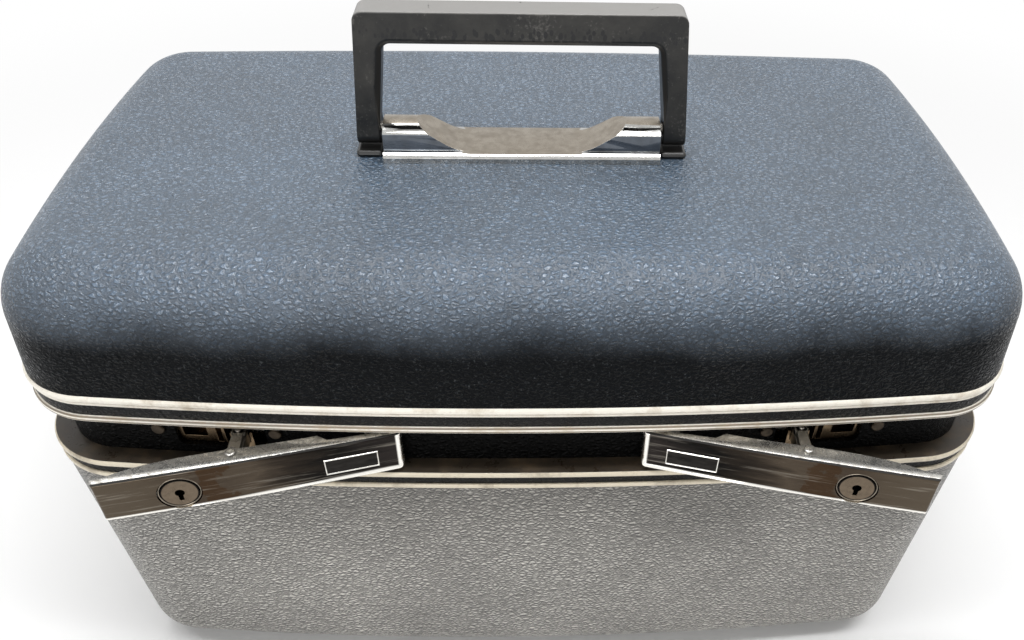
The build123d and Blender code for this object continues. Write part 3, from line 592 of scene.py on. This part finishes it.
# The lid frame's section: an upper double bead, the strip's channel, a lower bead, and behind them
# a tongue that stands inside the shell's foot, and above which the lining ends.
lid_profile = np.concatenate(
    (
        bead_line(0.0, LID_FOOT_Z - 2.6, LID_FOOT_Z, 1.1),
        bead_line(0.5, LID_FOOT_Z - 4.0, LID_FOOT_Z - 2.7, 0.6, 4),
        [(2.0, LID_FOOT_Z - 4.0), (2.0, RIM_Z + 2.6)],
        bead_line(0.2, RIM_Z, RIM_Z + 2.6, 0.9),
        [(6.1, RIM_Z), (6.1, RIM_Z + 1.6), (3.2, RIM_Z + 1.6), (3.2, 154.3), (12.0, 154.3)],
        [(12.0, 156.7), (3.9, 156.7), (3.9, LID_FOOT_Z)],
    )
)
lid_ivory = frame_plastic(
    "yellowed ivory extrusion of the lid",
    cream="#fdf7ea",
    taupe="#857969",
    dirt="#a89270",
    lines=[(151.2, 151.7), (152.7, 153.1), (144.9, 145.5), (146.2, 146.8)],
)
finish(carried_round("lid_beads", lid_profile), lid_ivory, "lid", "ivory_frame", "lid_frame")

# The base frame's section: the ledge's bead, the strip's channel, a lower bead, and the ledge
# itself, with a lip down its inner edge that the collar stands inside.
base_profile = np.concatenate(
    (
        bead_line(0.0, LEDGE_Z - 2.6, LEDGE_Z, 1.0),
        [(2.0, LEDGE_Z - 2.6), (2.0, BASE_HEAD_Z + 1.9)],
        bead_line(0.2, BASE_HEAD_Z, BASE_HEAD_Z + 1.9, 0.7),
        [(3.6, BASE_HEAD_Z), (3.6, LEDGE_Z - 1.8), (5.7, LEDGE_Z - 1.8), (5.7, 110.0)],
        [(7.5, 110.0), (7.5, LEDGE_Z)],
    )
)
# The base frame's colours are darker than the lid's: painted shade under the lid's overhang. The second dark
# line, at 124.9 to 125.4 mm, covers the whole top of the ledge: painted shade.
base_ivory_painted_shade = frame_plastic(
    "yellowed ivory extrusion of the base, in painted shade",
    cream="#ded3bd",
    taupe="#352e26",
    dirt="#5d4d39",
    lines=[(122.7, 123.3), (124.9, 125.4)],
)
finish(carried_round("base_beads", base_profile), base_ivory_painted_shade, "case", "ivory_frame", "base_frame")


# Trim strips: black vinyl with the shell's grain, laid in the channel between the beads.
def strip_profile(low, high):
    """A strip 1.1 mm thick whose face bulges by 0.25 mm: inset 1.15 - 0.25 sin(pi t)."""
    t = np.linspace(0, 1, 9)
    face = np.stack((1.15 - 0.25 * np.sin(np.pi * t), high + (low - high) * t), 1)
    return np.concatenate((face, [(2.0, low), (2.0, high)]))


black_vinyl = vinyl(
    "embossed black vinyl",
    wall="#0b0b0c",
    top="#0b0b0c",
    low_z=0.0,
    high_z=0.3,
    worn="#8d8b86",
    wear_and_painted_light=0.14,
    shine=(0.2, 0.2),
    grain=0.0018,
    painted_flank_light=0.4,
)
lid_strip = carried_round("lid_strip", strip_profile(RIM_Z + 2.6, LID_FOOT_Z - 4.0))
finish(lid_strip, black_vinyl, "lid", "black_vinyl", "lid_trim_strip")
base_strip = carried_round("base_strip", strip_profile(BASE_HEAD_Z + 1.9, LEDGE_Z - 2.6))
finish(base_strip, black_vinyl, "case", "black_vinyl", "base_trim_strip")


# ---------------------------------------------------------------------------
# Collar: an upstand of the same black vinyl over steel, behind the groove, with two windows that
# the latch bars' housings are riveted behind. The rivets have browned. The collar's vinyl is painted
# darker and less shiny than the strips', as painted shade in the groove under the lid.
def metal(name, clean, stained, rough, blotch, amount=0.6, stretch=(1, 1, 1), bump_depth=0.00003):
    """Plated metal whose plating has clouded: stained in blotches, rougher where it is stained, and
    finely pitted. stretch shortens the blotches across the run of the piece."""
    made, tree, shader, place = new_material(name)
    cloud = noise(tree, vector_maths(tree, "MULTIPLY", place, stretch), blotch, 6.0, 0.65)
    share = remap(tree, cloud, 0.38, 0.68, 0.0, amount)
    set_up(
        tree,
        shader,
        metallic=1.0,
        base_color=blend(tree, share, clean, stained),
        roughness=remap(tree, share, 0.0, 1.0, *rough),
        normal=bumped(tree, noise(tree, place, 0.0007, 4.0, 0.7), 0.35, bump_depth),
    )
    return made


# Painted shade: the collar's vinyl is painted darker and less shiny than the strips'.
collar_vinyl_painted_shade = vinyl(
    "embossed black vinyl of the collar",
    wall="#040404",
    top="#040404",
    low_z=0.0,
    high_z=0.3,
    worn="#2c2b28",
    wear_and_painted_light=0.1,
    shine=(0.06, 0.06),
    grain=0.0017,
)
from_node("collar", "collar_skin", collar_vinyl_painted_shade, "case", "black_vinyl")
browned_steel = metal("browned steel rivets", "#40382f", "#1f1b17", (0.3, 0.5), 0.002)
from_node("collar_rivets", "rivets", browned_steel, "case", "steel")


# ---------------------------------------------------------------------------
# Latch bars: each has a cover pressed in brass sheet and chromed, bowed like the case, with lips
# turned in all round and a bottom roll that grows wider towards the inner end. The chrome's colour
# carries painted reflections: dark and brown streaks, darkest at the inner end and warm at the outer
# end, and a painted highlight along the bottom roll.
BAR_IN_X = 41.0
BAR_OUT_X = 137.8
BAR_LOW_Z = 125.8
BAR_TOP_Z = 142.8
LIP_DEPTH = 2.6
IN_END_ROLL, OUT_END_ROLL, TOP_ROLL = 2.4, 1.0, 0.8
LATCH_PIVOT = (47.1, -95.59167)
BAR_SWING = math.radians(16.7)
SWING_COS, SWING_SIN = math.cos(BAR_SWING), math.sin(BAR_SWING)
LOCK_X = 113.2
FACE_Z = 133.4
LOCK_R = 6.9
LOCK_STEPS = 72
# How far along the bar the brown patch beside the lock is, and the bar's tones from its inner end, which are
# painted reflections.
BROWN_PATCH_X = 99.0
BAR_REFLECTION_TONES = (
    (0.0, "#1b1a19"),
    (0.12, "#2a2624"),
    (0.3, "#121110"),
    (0.45, "#2e2822"),
    (0.56, "#4b4238"),
    (0.7, "#40372e"),
    (0.85, "#4f463b"),
    (1.0, "#544b40"),
)
sides = (("left", -1), ("right", 1))


def bar_points(x, depth, z, side):
    """Points of the opened bar from distance along X, depth behind its face, and height:
    y = R + front - sqrt((R - depth)^2 - x^2), turned clockwise about the pivot."""
    y = FRONT_BOW_R + FRONT_Y - np.sqrt((FRONT_BOW_R - depth) ** 2 - x**2)
    dx, dy = x - LATCH_PIVOT[0], y - LATCH_PIVOT[1]
    opened_x = LATCH_PIVOT[0] + SWING_COS * dx + SWING_SIN * dy
    opened_y = LATCH_PIVOT[1] - SWING_SIN * dx + SWING_COS * dy
    return np.stack((side * opened_x, opened_y, z + 0 * x), -1)


def depth_behind(point, side):
    """How far behind the bar's face a point in metres lies: the bow's radius less the distance from
    the middle of the bow to the point, once it is turned back about the pivot."""
    dx, dy = side * point.x / MM - LATCH_PIVOT[0], point.y / MM - LATCH_PIVOT[1]
    closed_x = LATCH_PIVOT[0] + SWING_COS * dx - SWING_SIN * dy
    closed_y = LATCH_PIVOT[1] + SWING_SIN * dx + SWING_COS * dy
    return FRONT_BOW_R - math.hypot(closed_x, closed_y - FRONT_BOW_R - FRONT_Y)


def rolled(distance, radius):
    """Height of a rolled edge: a quarter ellipse sqrt(1 - (1 - t)^2) over its radius, then level."""
    t = np.clip(distance / radius, 0, 1)
    return np.sqrt(1 - (1 - t) ** 2)


def eased(start, end, fine_start, fine_end, steps, dense=8):
    """Numbers from start to end, closer together over the first and the last stretch."""
    first = start + fine_start * (1 - np.cos(np.linspace(0, np.pi / 2, dense)))
    last = end - fine_end * (1 - np.cos(np.linspace(np.pi / 2, 0, dense)))
    return np.concatenate((first, np.linspace(first[-1], last[0], steps)[1:-1], last))


def cover_sheet(side, thickness, inward):
    """One face of the cover as a grid: depth = lip * (1 - top roll * bottom roll * two end rolls), and
    on the outer face less a half-sine bead along the bottom, wider and prouder inwards."""
    x = eased(BAR_IN_X + inward, BAR_OUT_X - inward, 3.0, 1.4, 70)[:, None]
    z = eased(BAR_LOW_Z + inward, BAR_TOP_Z - inward, 2.6, 0.9, 14)[None, :]
    growth = np.clip((LOCK_X + 8 - x) / (LOCK_X + 8 - BAR_IN_X), 0, 1)
    low_roll = rolled(z - BAR_LOW_Z - inward, 0.9 + 1.6 * growth**1.5)
    top_roll = rolled(BAR_TOP_Z - inward - z, TOP_ROLL)
    ends = rolled(x - BAR_IN_X - inward, IN_END_ROLL) * rolled(BAR_OUT_X - inward - x, OUT_END_ROLL)
    depth = thickness + (LIP_DEPTH - thickness) * (1 - low_roll * top_roll * ends)
    if not inward:
        up_the_bead = np.clip((z - BAR_LOW_Z - 0.1) / (1.1 + 1.9 * growth), 0, 1)
        depth = depth - (0.25 + 0.75 * growth) * np.sin(np.pi * up_the_bead) * ends
    points = bar_points(x + 0 * z, depth, z + 0 * x, side)
    return points.reshape(-1, 3), depth.shape


def border_of(rows, columns):
    """Point numbers round the edge of a grid."""
    top = np.arange(columns)
    right = np.arange(1, rows) * columns + columns - 1
    low = (rows - 1) * columns + np.arange(columns - 2, -1, -1)
    left = np.arange(rows - 2, 0, -1) * columns
    return np.concatenate((top, right, low, left))


def pan(name, outer, inner, shape):
    """A closed sheet from its outer and inner grids, joined round their edges."""
    count = len(outer)
    edge = border_of(*shape)
    after = np.roll(edge, -1)
    rim = np.stack((edge, after, after + count, edge + count), 1)
    face = quads_of(*shape)
    made = add_mesh(
        name, np.concatenate((outer, inner)) * MM, np.concatenate((face, face[:, ::-1] + count, rim))
    )
    return sharpen(close_up(made), 50)


def lock_cutter(side):
    """A cylinder across the bar at the lock, for its hole."""
    a = np.linspace(0, 2 * np.pi, LOCK_STEPS, endpoint=False)
    x, z = LOCK_X + LOCK_R * np.cos(a), FACE_Z + LOCK_R * np.sin(a)
    rings = np.stack([bar_points(x, np.full(LOCK_STEPS, depth), z, side) for depth in (-4.0, 8.0)])
    made = round_mesh("lock cutter", rings)
    with reworked(made.data) as work:
        bmesh.ops.holes_fill(work, edges=work.edges)
        bmesh.ops.recalc_face_normals(work, faces=work.faces)
    return made


def cut_by(made, cutter):
    """Takes the cutter out of a piece and applies the result."""
    step = made.modifiers.new("hole", "BOOLEAN")
    step.operation = "DIFFERENCE"
    step.solver = "EXACT"
    step.object = cutter
    graph = bpy.context.evaluated_depsgraph_get()
    cut = bpy.data.meshes.new_from_object(made.evaluated_get(graph))
    made.modifiers.clear()
    made.data = cut
    bpy.data.objects.remove(cutter)
    return sharpen(made, 50)


def bar_chrome():
    """Chrome with painted reflections: streaks along the bar, darkest at its inner end and warm at its
    outer end, and a painted highlight along the bottom roll and at the inner end."""
    made, tree, shader, place = new_material("chrome of the latch bars with painted reflections")
    parts = add(tree, "ShaderNodeSeparateXYZ", vector=place)
    out = maths(tree, "ABSOLUTE", parts.outputs["X"])
    along = vector_maths(tree, "MULTIPLY", place, (1.0, 1.0, 7.0))
    streak = noise(tree, along, 0.02, 7.0, 0.62)
    wander = maths(tree, "MULTIPLY_ADD", streak, 0.04, out)
    # Painted reflections: the bar's tones, dark at the inner end and warm at the outer end.
    warm = add(tree, "ShaderNodeValToRGB", fac=remap(tree, wander, 0.05, 0.155))
    stops = warm.color_ramp.elements
    for position, _ in BAR_REFLECTION_TONES[1:-1]:
        stops.new(position)
    for stop, (_, tone) in zip(stops, BAR_REFLECTION_TONES):
        stop.color = colour(tone)

    # The brown patch beside the lock, and bright hairlines that are painted highlights.
    near = remap(tree, away(tree, out, BROWN_PATCH_X * MM), 0.003, 0.008, 0.35, 0.0)
    patch_spread = maths(tree, "ADD", noise(tree, place, 0.005, 4.0, 0.6), near)
    stained = blend(tree, remap(tree, patch_spread, 0.74, 0.80, 0.0, 0.7), warm.outputs[0], "#3a2817")
    thin = vector_maths(tree, "MULTIPLY", place, (1.0, 1.0, 22.0))
    lines = remap(tree, noise(tree, thin, 0.03, 5.0, 0.6), 0.56, 0.72, 0.0, 0.28)
    base = blend(tree, lines, stained, "#c4bdb0")

    # The painted highlight on the bottom roll: up to a height that grows towards the inner end, and on the
    # inner end itself.
    highlight_top_z = remap(tree, out, 0.11, 0.045, (BAR_LOW_Z + 1.2) * MM, (BAR_LOW_Z + 2.6) * MM)
    low = remap(tree, maths(tree, "SUBTRACT", parts.outputs["Z"], highlight_top_z), 0.0003, -0.0001)
    end = remap(tree, out, 0.0425, 0.0420)
    set_up(
        tree,
        shader,
        metallic=1.0,
        base_color=blend(tree, maths(tree, "MAXIMUM", low, end), base, "#f4f1ea"),
        roughness=remap(tree, streak, 0.35, 0.7, 0.12, 0.34),
        normal=bumped(tree, noise(tree, along, 0.0016, 5.0, 0.7), 0.3, 0.00004),
    )
    return made


chrome_with_painted_reflections = bar_chrome()
mottled_zinc = metal("mottled zinc of the carriers", "#d6d4cf", "#66615a", (0.2, 0.42), 0.0024, 0.85)
# Painted shade: the narrow top faces of the cover 0.2 to 1.05 mm behind its face are painted near black, in
# the seam between the cover and the carrier's flange.
seam_painted_shade, tree, shader, place = new_material("dirt in the seam behind the cover's face")
seam_painted_shade_tone = blend(tree, noise(tree, place, 0.002, 4.0), "#060505", "#1b1815")
set_up(tree, shader, base_color=seam_painted_shade_tone, roughness=0.8)
for side_name, side in sides:
    outer, shape = cover_sheet(side, 0.0, 0.0)
    inner, _ = cover_sheet(side, 1.0, 1.0)
    cover = cut_by(pan(f"latch_face_{side_name}", outer, inner, shape), lock_cutter(side))
    for matter in (chrome_with_painted_reflections, seam_painted_shade, mottled_zinc):
        cover.data.materials.append(matter)
    for face in cover.data.polygons:
        behind = depth_behind(face.center, side)
        on_top = face.normal.z > 0.5 and face.center.z > (BAR_TOP_Z - 0.6) * MM
        face.material_index = 0 if not on_top or behind < 0.2 else 1 if behind < 1.05 else 2
    finish(cover, None, f"latch_{side_name}", "chrome", f"latch_cover_{side_name}")


# Plaques: small blank plates let into the covers, each with a thin raised border.
PLAQUE_X = 58.7
PLAQUE_HALF = (8.9, 3.5)
BORDER = 0.55
BORDER_STEPS = 7


def plaque_steps(half, field_steps):
    """Places across the plaque from -half to half, close together over its two borders."""
    rim = np.linspace(0, BORDER, BORDER_STEPS)
    field = np.linspace(0.7 - half, half - 0.7, field_steps)
    return np.concatenate((rim - half, field, half - rim[::-1]))


def plaque_sheet(side, depth_in, border):
    """One face of the plaque: a level field inside a border that stands up by a half sine."""
    x = PLAQUE_X + plaque_steps(PLAQUE_HALF[0], 14)[:, None]
    z = FACE_Z + plaque_steps(PLAQUE_HALF[1], 6)[None, :]
    gap = np.minimum(PLAQUE_HALF[0] - np.abs(x - PLAQUE_X), PLAQUE_HALF[1] - np.abs(z - FACE_Z)) / BORDER
    ridge = np.where(gap < 1.0, np.sin(np.pi * np.clip(gap, 0, 1)), 0.0)
    depth = depth_in - border * ridge
    points = bar_points(x + 0 * z, depth, z + 0 * x, side)
    return points.reshape(-1, 3), depth.shape


dark_chrome = metal(
    "darkened chrome of the plaques", "#2c2a28", "#151413", (0.12, 0.3), 0.005, 0.9, stretch=(1, 1, 3)
)
border_chrome = metal("bright chrome of the plaques' borders", "#f0eee8", "#b5afa5", (0.12, 0.25), 0.004, 0.5)
for side_name, side in sides:
    outer, shape = plaque_sheet(side, -0.05, 0.32)
    inner, _ = plaque_sheet(side, 0.3, 0.0)
    plaque = pan(f"plaque_{side_name}", outer, inner, shape)
    plaque.data.materials.append(dark_chrome)
    plaque.data.materials.append(border_chrome)
    steps_x, steps_z = shape[0] - 1, shape[1] - 1
    for face in plaque.data.polygons:
        row, column = divmod(face.index, steps_z)
        from_edge = min(row, column, steps_x - 1 - row, steps_z - 1 - column)
        face.material_index = 1 if from_edge < BORDER_STEPS - 1 else 0
    finish(plaque, None, f"latch_{side_name}", "chrome", f"latch_plaque_{side_name}")


# Locks: a steel ring round a turning plug whose face has browned, with a warded keyhole. With them
# come the other metal pieces of each side: carrier, link, bolt, housing, strike and hinge.
LOCK_CENTRE = (0.1100314, -0.115855, 0.1334)
LOCK_AXIS = (-0.217779, -0.975998, 0.0)
# How far the carriers' ears are lowered to clear the collar's windows when the bars close.
EAR_LOWERED = 0.12


def lock_face():
    """Browned face of the plug, with painted shade: a dark ring at its edge next to the steel ring and
    darkness in the keyhole, found from the distance to the lock's axis and the depth behind its face."""
    made, tree, shader, place = new_material("browned lock plug")
    mirrored = vector_maths(tree, "ABSOLUTE", place)
    signed = vector_maths(tree, "MULTIPLY", mirrored, (1, -1, 1))
    from_centre = vector_maths(tree, "SUBTRACT", signed, LOCK_CENTRE)
    product = add(tree, "ShaderNodeVectorMath", operation="DOT_PRODUCT", in_0=from_centre, in_1=LOCK_AXIS)
    depth = product.outputs["Value"]
    across = vector_maths(tree, "SUBTRACT", from_centre, scaled(tree, LOCK_AXIS, depth))
    radius = add(tree, "ShaderNodeVectorMath", operation="LENGTH", in_0=across).outputs["Value"]
    cloud = noise(tree, place, 0.002, 5.0, 0.6)
    # Painted shade at the plug's edge and in the keyhole.
    ring = remap(tree, radius, 0.00535, 0.0056)
    deep = remap(tree, depth, -0.0003, -0.0007)
    dark = maths(tree, "MAXIMUM", ring, deep)
    set_up(
        tree,
        shader,
        metallic=1.0,
        base_color=blend(tree, dark, blend(tree, cloud, "#4c4238", "#7f7160"), "#141210"),
        roughness=remap(tree, cloud, 0.3, 0.7, 0.22, 0.42),
    )
    return made


lock_matter = lock_face()
ring_steel = metal("plated lock ring", "#8d8477", "#2e2924", (0.16, 0.35), 0.003)
plated_steel = metal("plated steel of the mechanism", "#a5a19a", "#6b655c", (0.24, 0.42), 0.008)
housing_steel = metal("browned steel of the housings", "#75644f", "#2b231b", (0.2, 0.4), 0.005, 0.8)
# Each piece: its CAD node, its name, its material, its body and its slot, with {} for the side.
METAL_PIECES = (
    ("lock_bezel_{}", "lock_ring_{}", ring_steel, "latch_{}", "chrome"),
    ("lock_plug_{}", "lock_core_{}", lock_matter, "lock_{}", "chrome"),
    ("latch_carrier_{}", "carrier_{}", mottled_zinc, "latch_{}", "zinc"),
    ("latch_link_pin_{}", "link_rivet_{}", mottled_zinc, "latch_{}", "zinc"),
    ("latch_link_{}", "link_{}_plate", plated_steel, "link_{}", "steel"),
    ("latch_bolt_{}", "bolt_{}_bar", plated_steel, "bolt_{}", "steel"),
    ("latch_housing_{}", "housing_steel_{}", housing_steel, "case", "steel"),
    ("latch_bracket_{}", "bracket_steel_{}", plated_steel, "case", "steel"),
    ("latch_pivot_pin_{}", "pivot_pin_steel_{}", plated_steel, "case", "steel"),
    ("strike_{}", "strike_steel_{}", plated_steel, "lid", "steel"),
    ("hinge_base_leaf_{}", "low_leaf_{}", plated_steel, "case", "steel"),
    ("hinge_lid_leaf_{}", "high_leaf_{}", plated_steel, "lid", "steel"),
    ("hinge_pin_{}", "hinge_rod_{}", plated_steel, "case", "steel"),
)
for side_name, _ in sides:
    for node, name, matter, body, slot in METAL_PIECES:
        from_node(node.format(side_name), name.format(side_name), matter, body.format(side_name), slot)
    for point in bpy.data.objects[f"carrier_{side_name}"].data.vertices:
        if point.co.z > (BAR_TOP_Z - 0.15) * MM:
            point.co.z -= EAR_LOWERED * MM


# ---------------------------------------------------------------------------
# Handle: a bail moulded in black ABS, painted pale grey on the faces that look up as painted light
# from above, chipped along its front edges and crazed by a few fine cracks. Its pads are the same
# plastic, less worn.
GRIP_PITS_Z = 243.6
GRIP_INSIDE_X = 50.5


def moulded(name, base, shade, rough=0.42):
    """Moulded plastic with a fine spark-eroded texture and slight clouding of its colour."""
    made, tree, shader, place = new_material(name)
    cloud = noise(tree, place, 0.03, 5.0, 0.6)
    set_up(
        tree,
        shader,
        base_color=blend(tree, cloud, base, shade),
        roughness=remap(tree, cloud, 0.3, 0.7, rough - 0.06, rough + 0.08),
        normal=bumped(tree, noise(tree, place, 0.0009, 4.0, 0.7), 0.35, 0.00006),
    )
    return made


def worn_black():
    """Black moulding: painted light from above, paler by how far a face looks up, paler wear in
    specks, crack lines, and a row of dark pits along the grip's lower edge."""
    made, tree, shader, place = new_material("black moulded plastic, worn, with painted top light")
    normal = add(tree, "ShaderNodeNewGeometry").outputs["Normal"]
    up = add(tree, "ShaderNodeSeparateXYZ", vector=normal).outputs["Z"]
    cloud = noise(tree, place, 0.012, 6.0, 0.65)
    # Painted light from above: faces that look up are painted pale grey.
    ragged = maths(tree, "MULTIPLY_ADD", cloud, 0.5, up)
    wear_and_painted_light = remap(tree, ragged, 0.45, 1.2, 0.0, 0.85, "SMOOTHSTEP")
    side = blend(tree, remap(tree, cloud, 0.35, 0.7), "#121211", "#3a3834")
    painted_top_light = blend(tree, wear_and_painted_light, side, "#93918e")

    # Chips in specks, gathered in some places, and cracks along the edges of large cells.
    specks = noise(tree, place, 0.0011, 4.0, 0.75)
    rubbed = maths(tree, "MULTIPLY_ADD", noise(tree, place, 0.02, 2.0), 0.55, specks)
    chipped = blend(tree, remap(tree, rubbed, 0.86, 0.97, 0.0, 0.3), painted_top_light, "#8b8781")
    cells = add(tree, "ShaderNodeTexVoronoi", feature="DISTANCE_TO_EDGE", vector=place, scale=1 / 0.03)
    thin = remap(tree, cells.outputs["Distance"], 0.0, 0.009, 1.0, 0.0)
    crack = maths(tree, "MULTIPLY", thin, remap(tree, cloud, 0.56, 0.62))
    cracked = blend(tree, crack, chipped, "#0c0c0c")

    # The row of pits: upright cells that darken near one height.
    height = add(tree, "ShaderNodeSeparateXYZ", vector=place).outputs["Z"]
    row = remap(tree, away(tree, height, GRIP_PITS_Z * MM), 0.0010, 0.0032, 0.5, 0.0)
    tall = vector_maths(tree, "MULTIPLY", place, (1.0, 1.0, 0.55))
    pores = add(tree, "ShaderNodeTexVoronoi", vector=tall, scale=1 / 0.0015).outputs["Distance"]
    pitted = remap(tree, maths(tree, "SUBTRACT", row, pores), -0.02, 0.08, 0.0, 0.85)
    set_up(
        tree,
        shader,
        base_color=blend(tree, pitted, cracked, "#090a0d"),
        roughness=remap(tree, cloud, 0.3, 0.7, 0.30, 0.5),
        normal=bumped(tree, maths(tree, "MULTIPLY_ADD", crack, -3.0, specks), 0.3, 0.00008),
    )
    return made


grip = from_node("handle_grip", "grip", worn_black(), "handle", "black_plastic", turn_over=30, segments=3)
unworn_black = moulded("black moulded plastic, unworn", "#0d0d0e", "#1a1917", 0.34)
grip.data.materials.append(unworn_black)
for face in grip.data.polygons:
    faces_in = -face.normal.x * math.copysign(1, face.center.x) > 0.3
    inside = faces_in and abs(face.center.x) < GRIP_INSIDE_X * MM
    face.material_index = 1 if face.normal.z < -0.3 or inside else 0
from_node("handle_pads", "pads", unworn_black, "lid", "black_plastic")
from_node("handle_pins", "pivot_pins", plated_steel, "lid", "steel")
from_node("handle_plate", "spreader", plated_steel, "lid", "steel")


# Handle saddle: cast in zinc and chromed bright, with its scoop left satin and blank, and on its
# front and rear faces a painted dark reflection.
SCOOP_HALF = 37.5
bright_chrome = metal(
    "bright chrome of the saddle", "#c2c2c0", "#7f7a72", (0.04, 0.16), 0.006, 0.5, bump_depth=0.000008
)
satin_chrome = metal("satin face of the saddle's scoop", "#a0988c", "#776e62", (0.24, 0.42), 0.004, 0.7)
# Tones of the painted dark reflection on the saddle's front and rear faces.
slate = ("#646a72", "#44464a")
chrome_with_painted_dark_reflection = metal(
    "chrome of the saddle's front with a painted dark reflection", *slate, (0.05, 0.16), 0.006, 0.6, bump_depth=0.000008
)
saddle = from_node("handle_mount", "saddle", bright_chrome, "lid", "chrome", turn_over=20, segments=3)
saddle.data.materials.append(satin_chrome)
saddle.data.materials.append(chrome_with_painted_dark_reflection)
for face in saddle.data.polygons:
    looks_up = abs(face.normal.y) < 0.05 and face.normal.z > 0.3
    in_scoop = looks_up and abs(face.center.x) < SCOOP_HALF * MM
    on_top = face.normal.z > 0.96 and face.center.z > (LID_TOP_Z + 9) * MM
    on_front = abs(face.normal.y) > 0.97 and face.center.z > (LID_TOP_Z + 3) * MM
    face.material_index = 1 if in_scoop or on_top else 2 if on_front else 0


# ---------------------------------------------------------------------------
# Mirror and tray. The mirror is silvered glass in a moulded frame, held to the lid's ceiling by
# four screws. The tray is one moulding in blue-grey plastic, on two rails of the same.
silver = metal("silvered glass", "#e6eaea", "#cfd4d4", (0.01, 0.04), 0.03, 0.3, bump_depth=0.0)
from_node("mirror_glass", "looking_glass", silver, "lid", "mirror")
ivory_moulding = moulded("ivory moulding of the mirror frame", "#d8cfbd", "#c2b79f")
from_node("mirror_frame", "mirror_surround", ivory_moulding, "lid", "frame_plastic", segments=3)
from_node("mirror_screws", "mirror_screw_heads", plated_steel, "lid", "steel")

tray_plastic = moulded("blue-grey moulding of the tray", "#7f8b9b", "#6b7788", 0.45)
from_node("tray", "tray_moulding", tray_plastic, "tray", "tray_plastic")
for side_name, _ in sides:
    from_node(f"tray_rail_{side_name}", f"rail_{side_name}", tray_plastic, "case", "tray_plastic")


# ---------------------------------------------------------------------------
# Linings: acetate satin quilted in diamonds over thin wadding, glued to the inside of both shells.
# The quilting fades out on the floor and the ceiling, where the satin lies flat.
DIAMOND = 26.0
PUFF = 1.1
SUNK = 0.45
LINING = 1.4
LINING_BACK = SHELL_INSET + WALL + 0.1
# How many times finer a pad's grid is than its shell's, round the case and down the wall.
FINER_ROUND = 4
FINER_DOWN = 3
FADE_ROWS = 12


def satin():
    """Slate-blue satin: soft sheen, a fine warp along the case and slight unevenness of colour."""
    made, tree, shader, place = new_material("quilted satin")
    cloud = noise(tree, place, 0.05, 4.0)
    warp = vector_maths(tree, "MULTIPLY", place, (0.15, 0.15, 1.0))
    set_up(
        tree,
        shader,
        base_color=blend(tree, cloud, "#74839a", "#8b99ad"),
        roughness=0.38,
        sheen_weight=0.5,
        anisotropic=0.4,
        normal=bumped(tree, noise(tree, warp, 0.0005, 2.0), 0.25, 0.00005),
    )
    return made


def refined(rows):
    """A finer grid between the points of a closed one, by straight lines."""
    u = np.arange(rows.shape[1] * FINER_ROUND) / FINER_ROUND
    low = np.floor(u).astype(int)
    share = (u - low)[None, :, None]
    wide = rows[:, low] * (1 - share) + rows[:, (low + 1) % rows.shape[1]] * share
    v = np.linspace(0, len(rows) - 1, (len(rows) - 1) * FINER_DOWN + 1)
    under = np.minimum(np.floor(v).astype(int), len(rows) - 2)
    part = (v - under)[:, None, None]
    return wide[under] * (1 - part) + wide[under + 1] * part


def quilted(name, base_rows, face_rows, wall_rows, low_z, high_z):
    """A pad between two surfaces. Its face stands off by 1.1 mm * sqrt|sin(pi u) sin(pi v)|, where
    u and v are the sum and difference of the lengths along and down the wall over a diamond."""
    face = refined(face_rows)
    base = refined(base_rows)
    around = np.linalg.norm(np.roll(face[0], -1, axis=0) - face[0], axis=1)
    s = np.concatenate(([0.0], np.cumsum(around)[:-1]))
    s = s * round(s[-1] / DIAMOND) * DIAMOND / (s[-1] + around[-1])
    steps = np.linalg.norm(np.diff(face, axis=0), axis=2).mean(axis=1)
    t = np.concatenate(([0.0], np.cumsum(steps)))[:, None]
    puff = np.sqrt(np.abs(np.sin(np.pi * (s + t) / DIAMOND) * np.sin(np.pi * (s - t) / DIAMOND)))
    fade = np.clip((wall_rows * FINER_DOWN - np.arange(len(face))) / FADE_ROWS, 0, 1)[:, None]
    towards = face - base
    towards /= np.maximum(np.linalg.norm(towards, axis=2, keepdims=True), 1e-9)
    face = face + towards * (PUFF * puff * fade - SUNK)[:, :, None]
    keep = (base[:, :, 2] >= low_z).all(axis=1) & (base[:, :, 2] <= high_z).all(axis=1)
    return sharpen(close_up(round_mesh(name, np.concatenate((base[keep][::-1], face[keep])))), 60)


lining_satin = satin()
lid_pad = quilted(
    "lid_padding",
    dome_rows(LINING_BACK, WALL + 0.1, LID_EDGE_R - WALL - 0.1),
    dome_rows(LINING_BACK + LINING, WALL + 0.1 + LINING, LID_EDGE_R - WALL - 0.1 - LINING),
    wall_rows=30,
    low_z=156.8,
    high_z=LID_TOP_Z,
)
finish(lid_pad, lining_satin, "lid", "lining", "lid_lining")
base_pad = quilted(
    "base_padding",
    tub_rows(LINING_BACK, WALL + 0.1, BASE_EDGE_R - WALL - 0.1),
    tub_rows(LINING_BACK + LINING, WALL + 0.1 + LINING, BASE_EDGE_R - WALL - 0.1 - LINING),
    wall_rows=28,
    low_z=0.0,
    high_z=109.6,
)
finish(base_pad, lining_satin, "case", "lining", "base_lining")
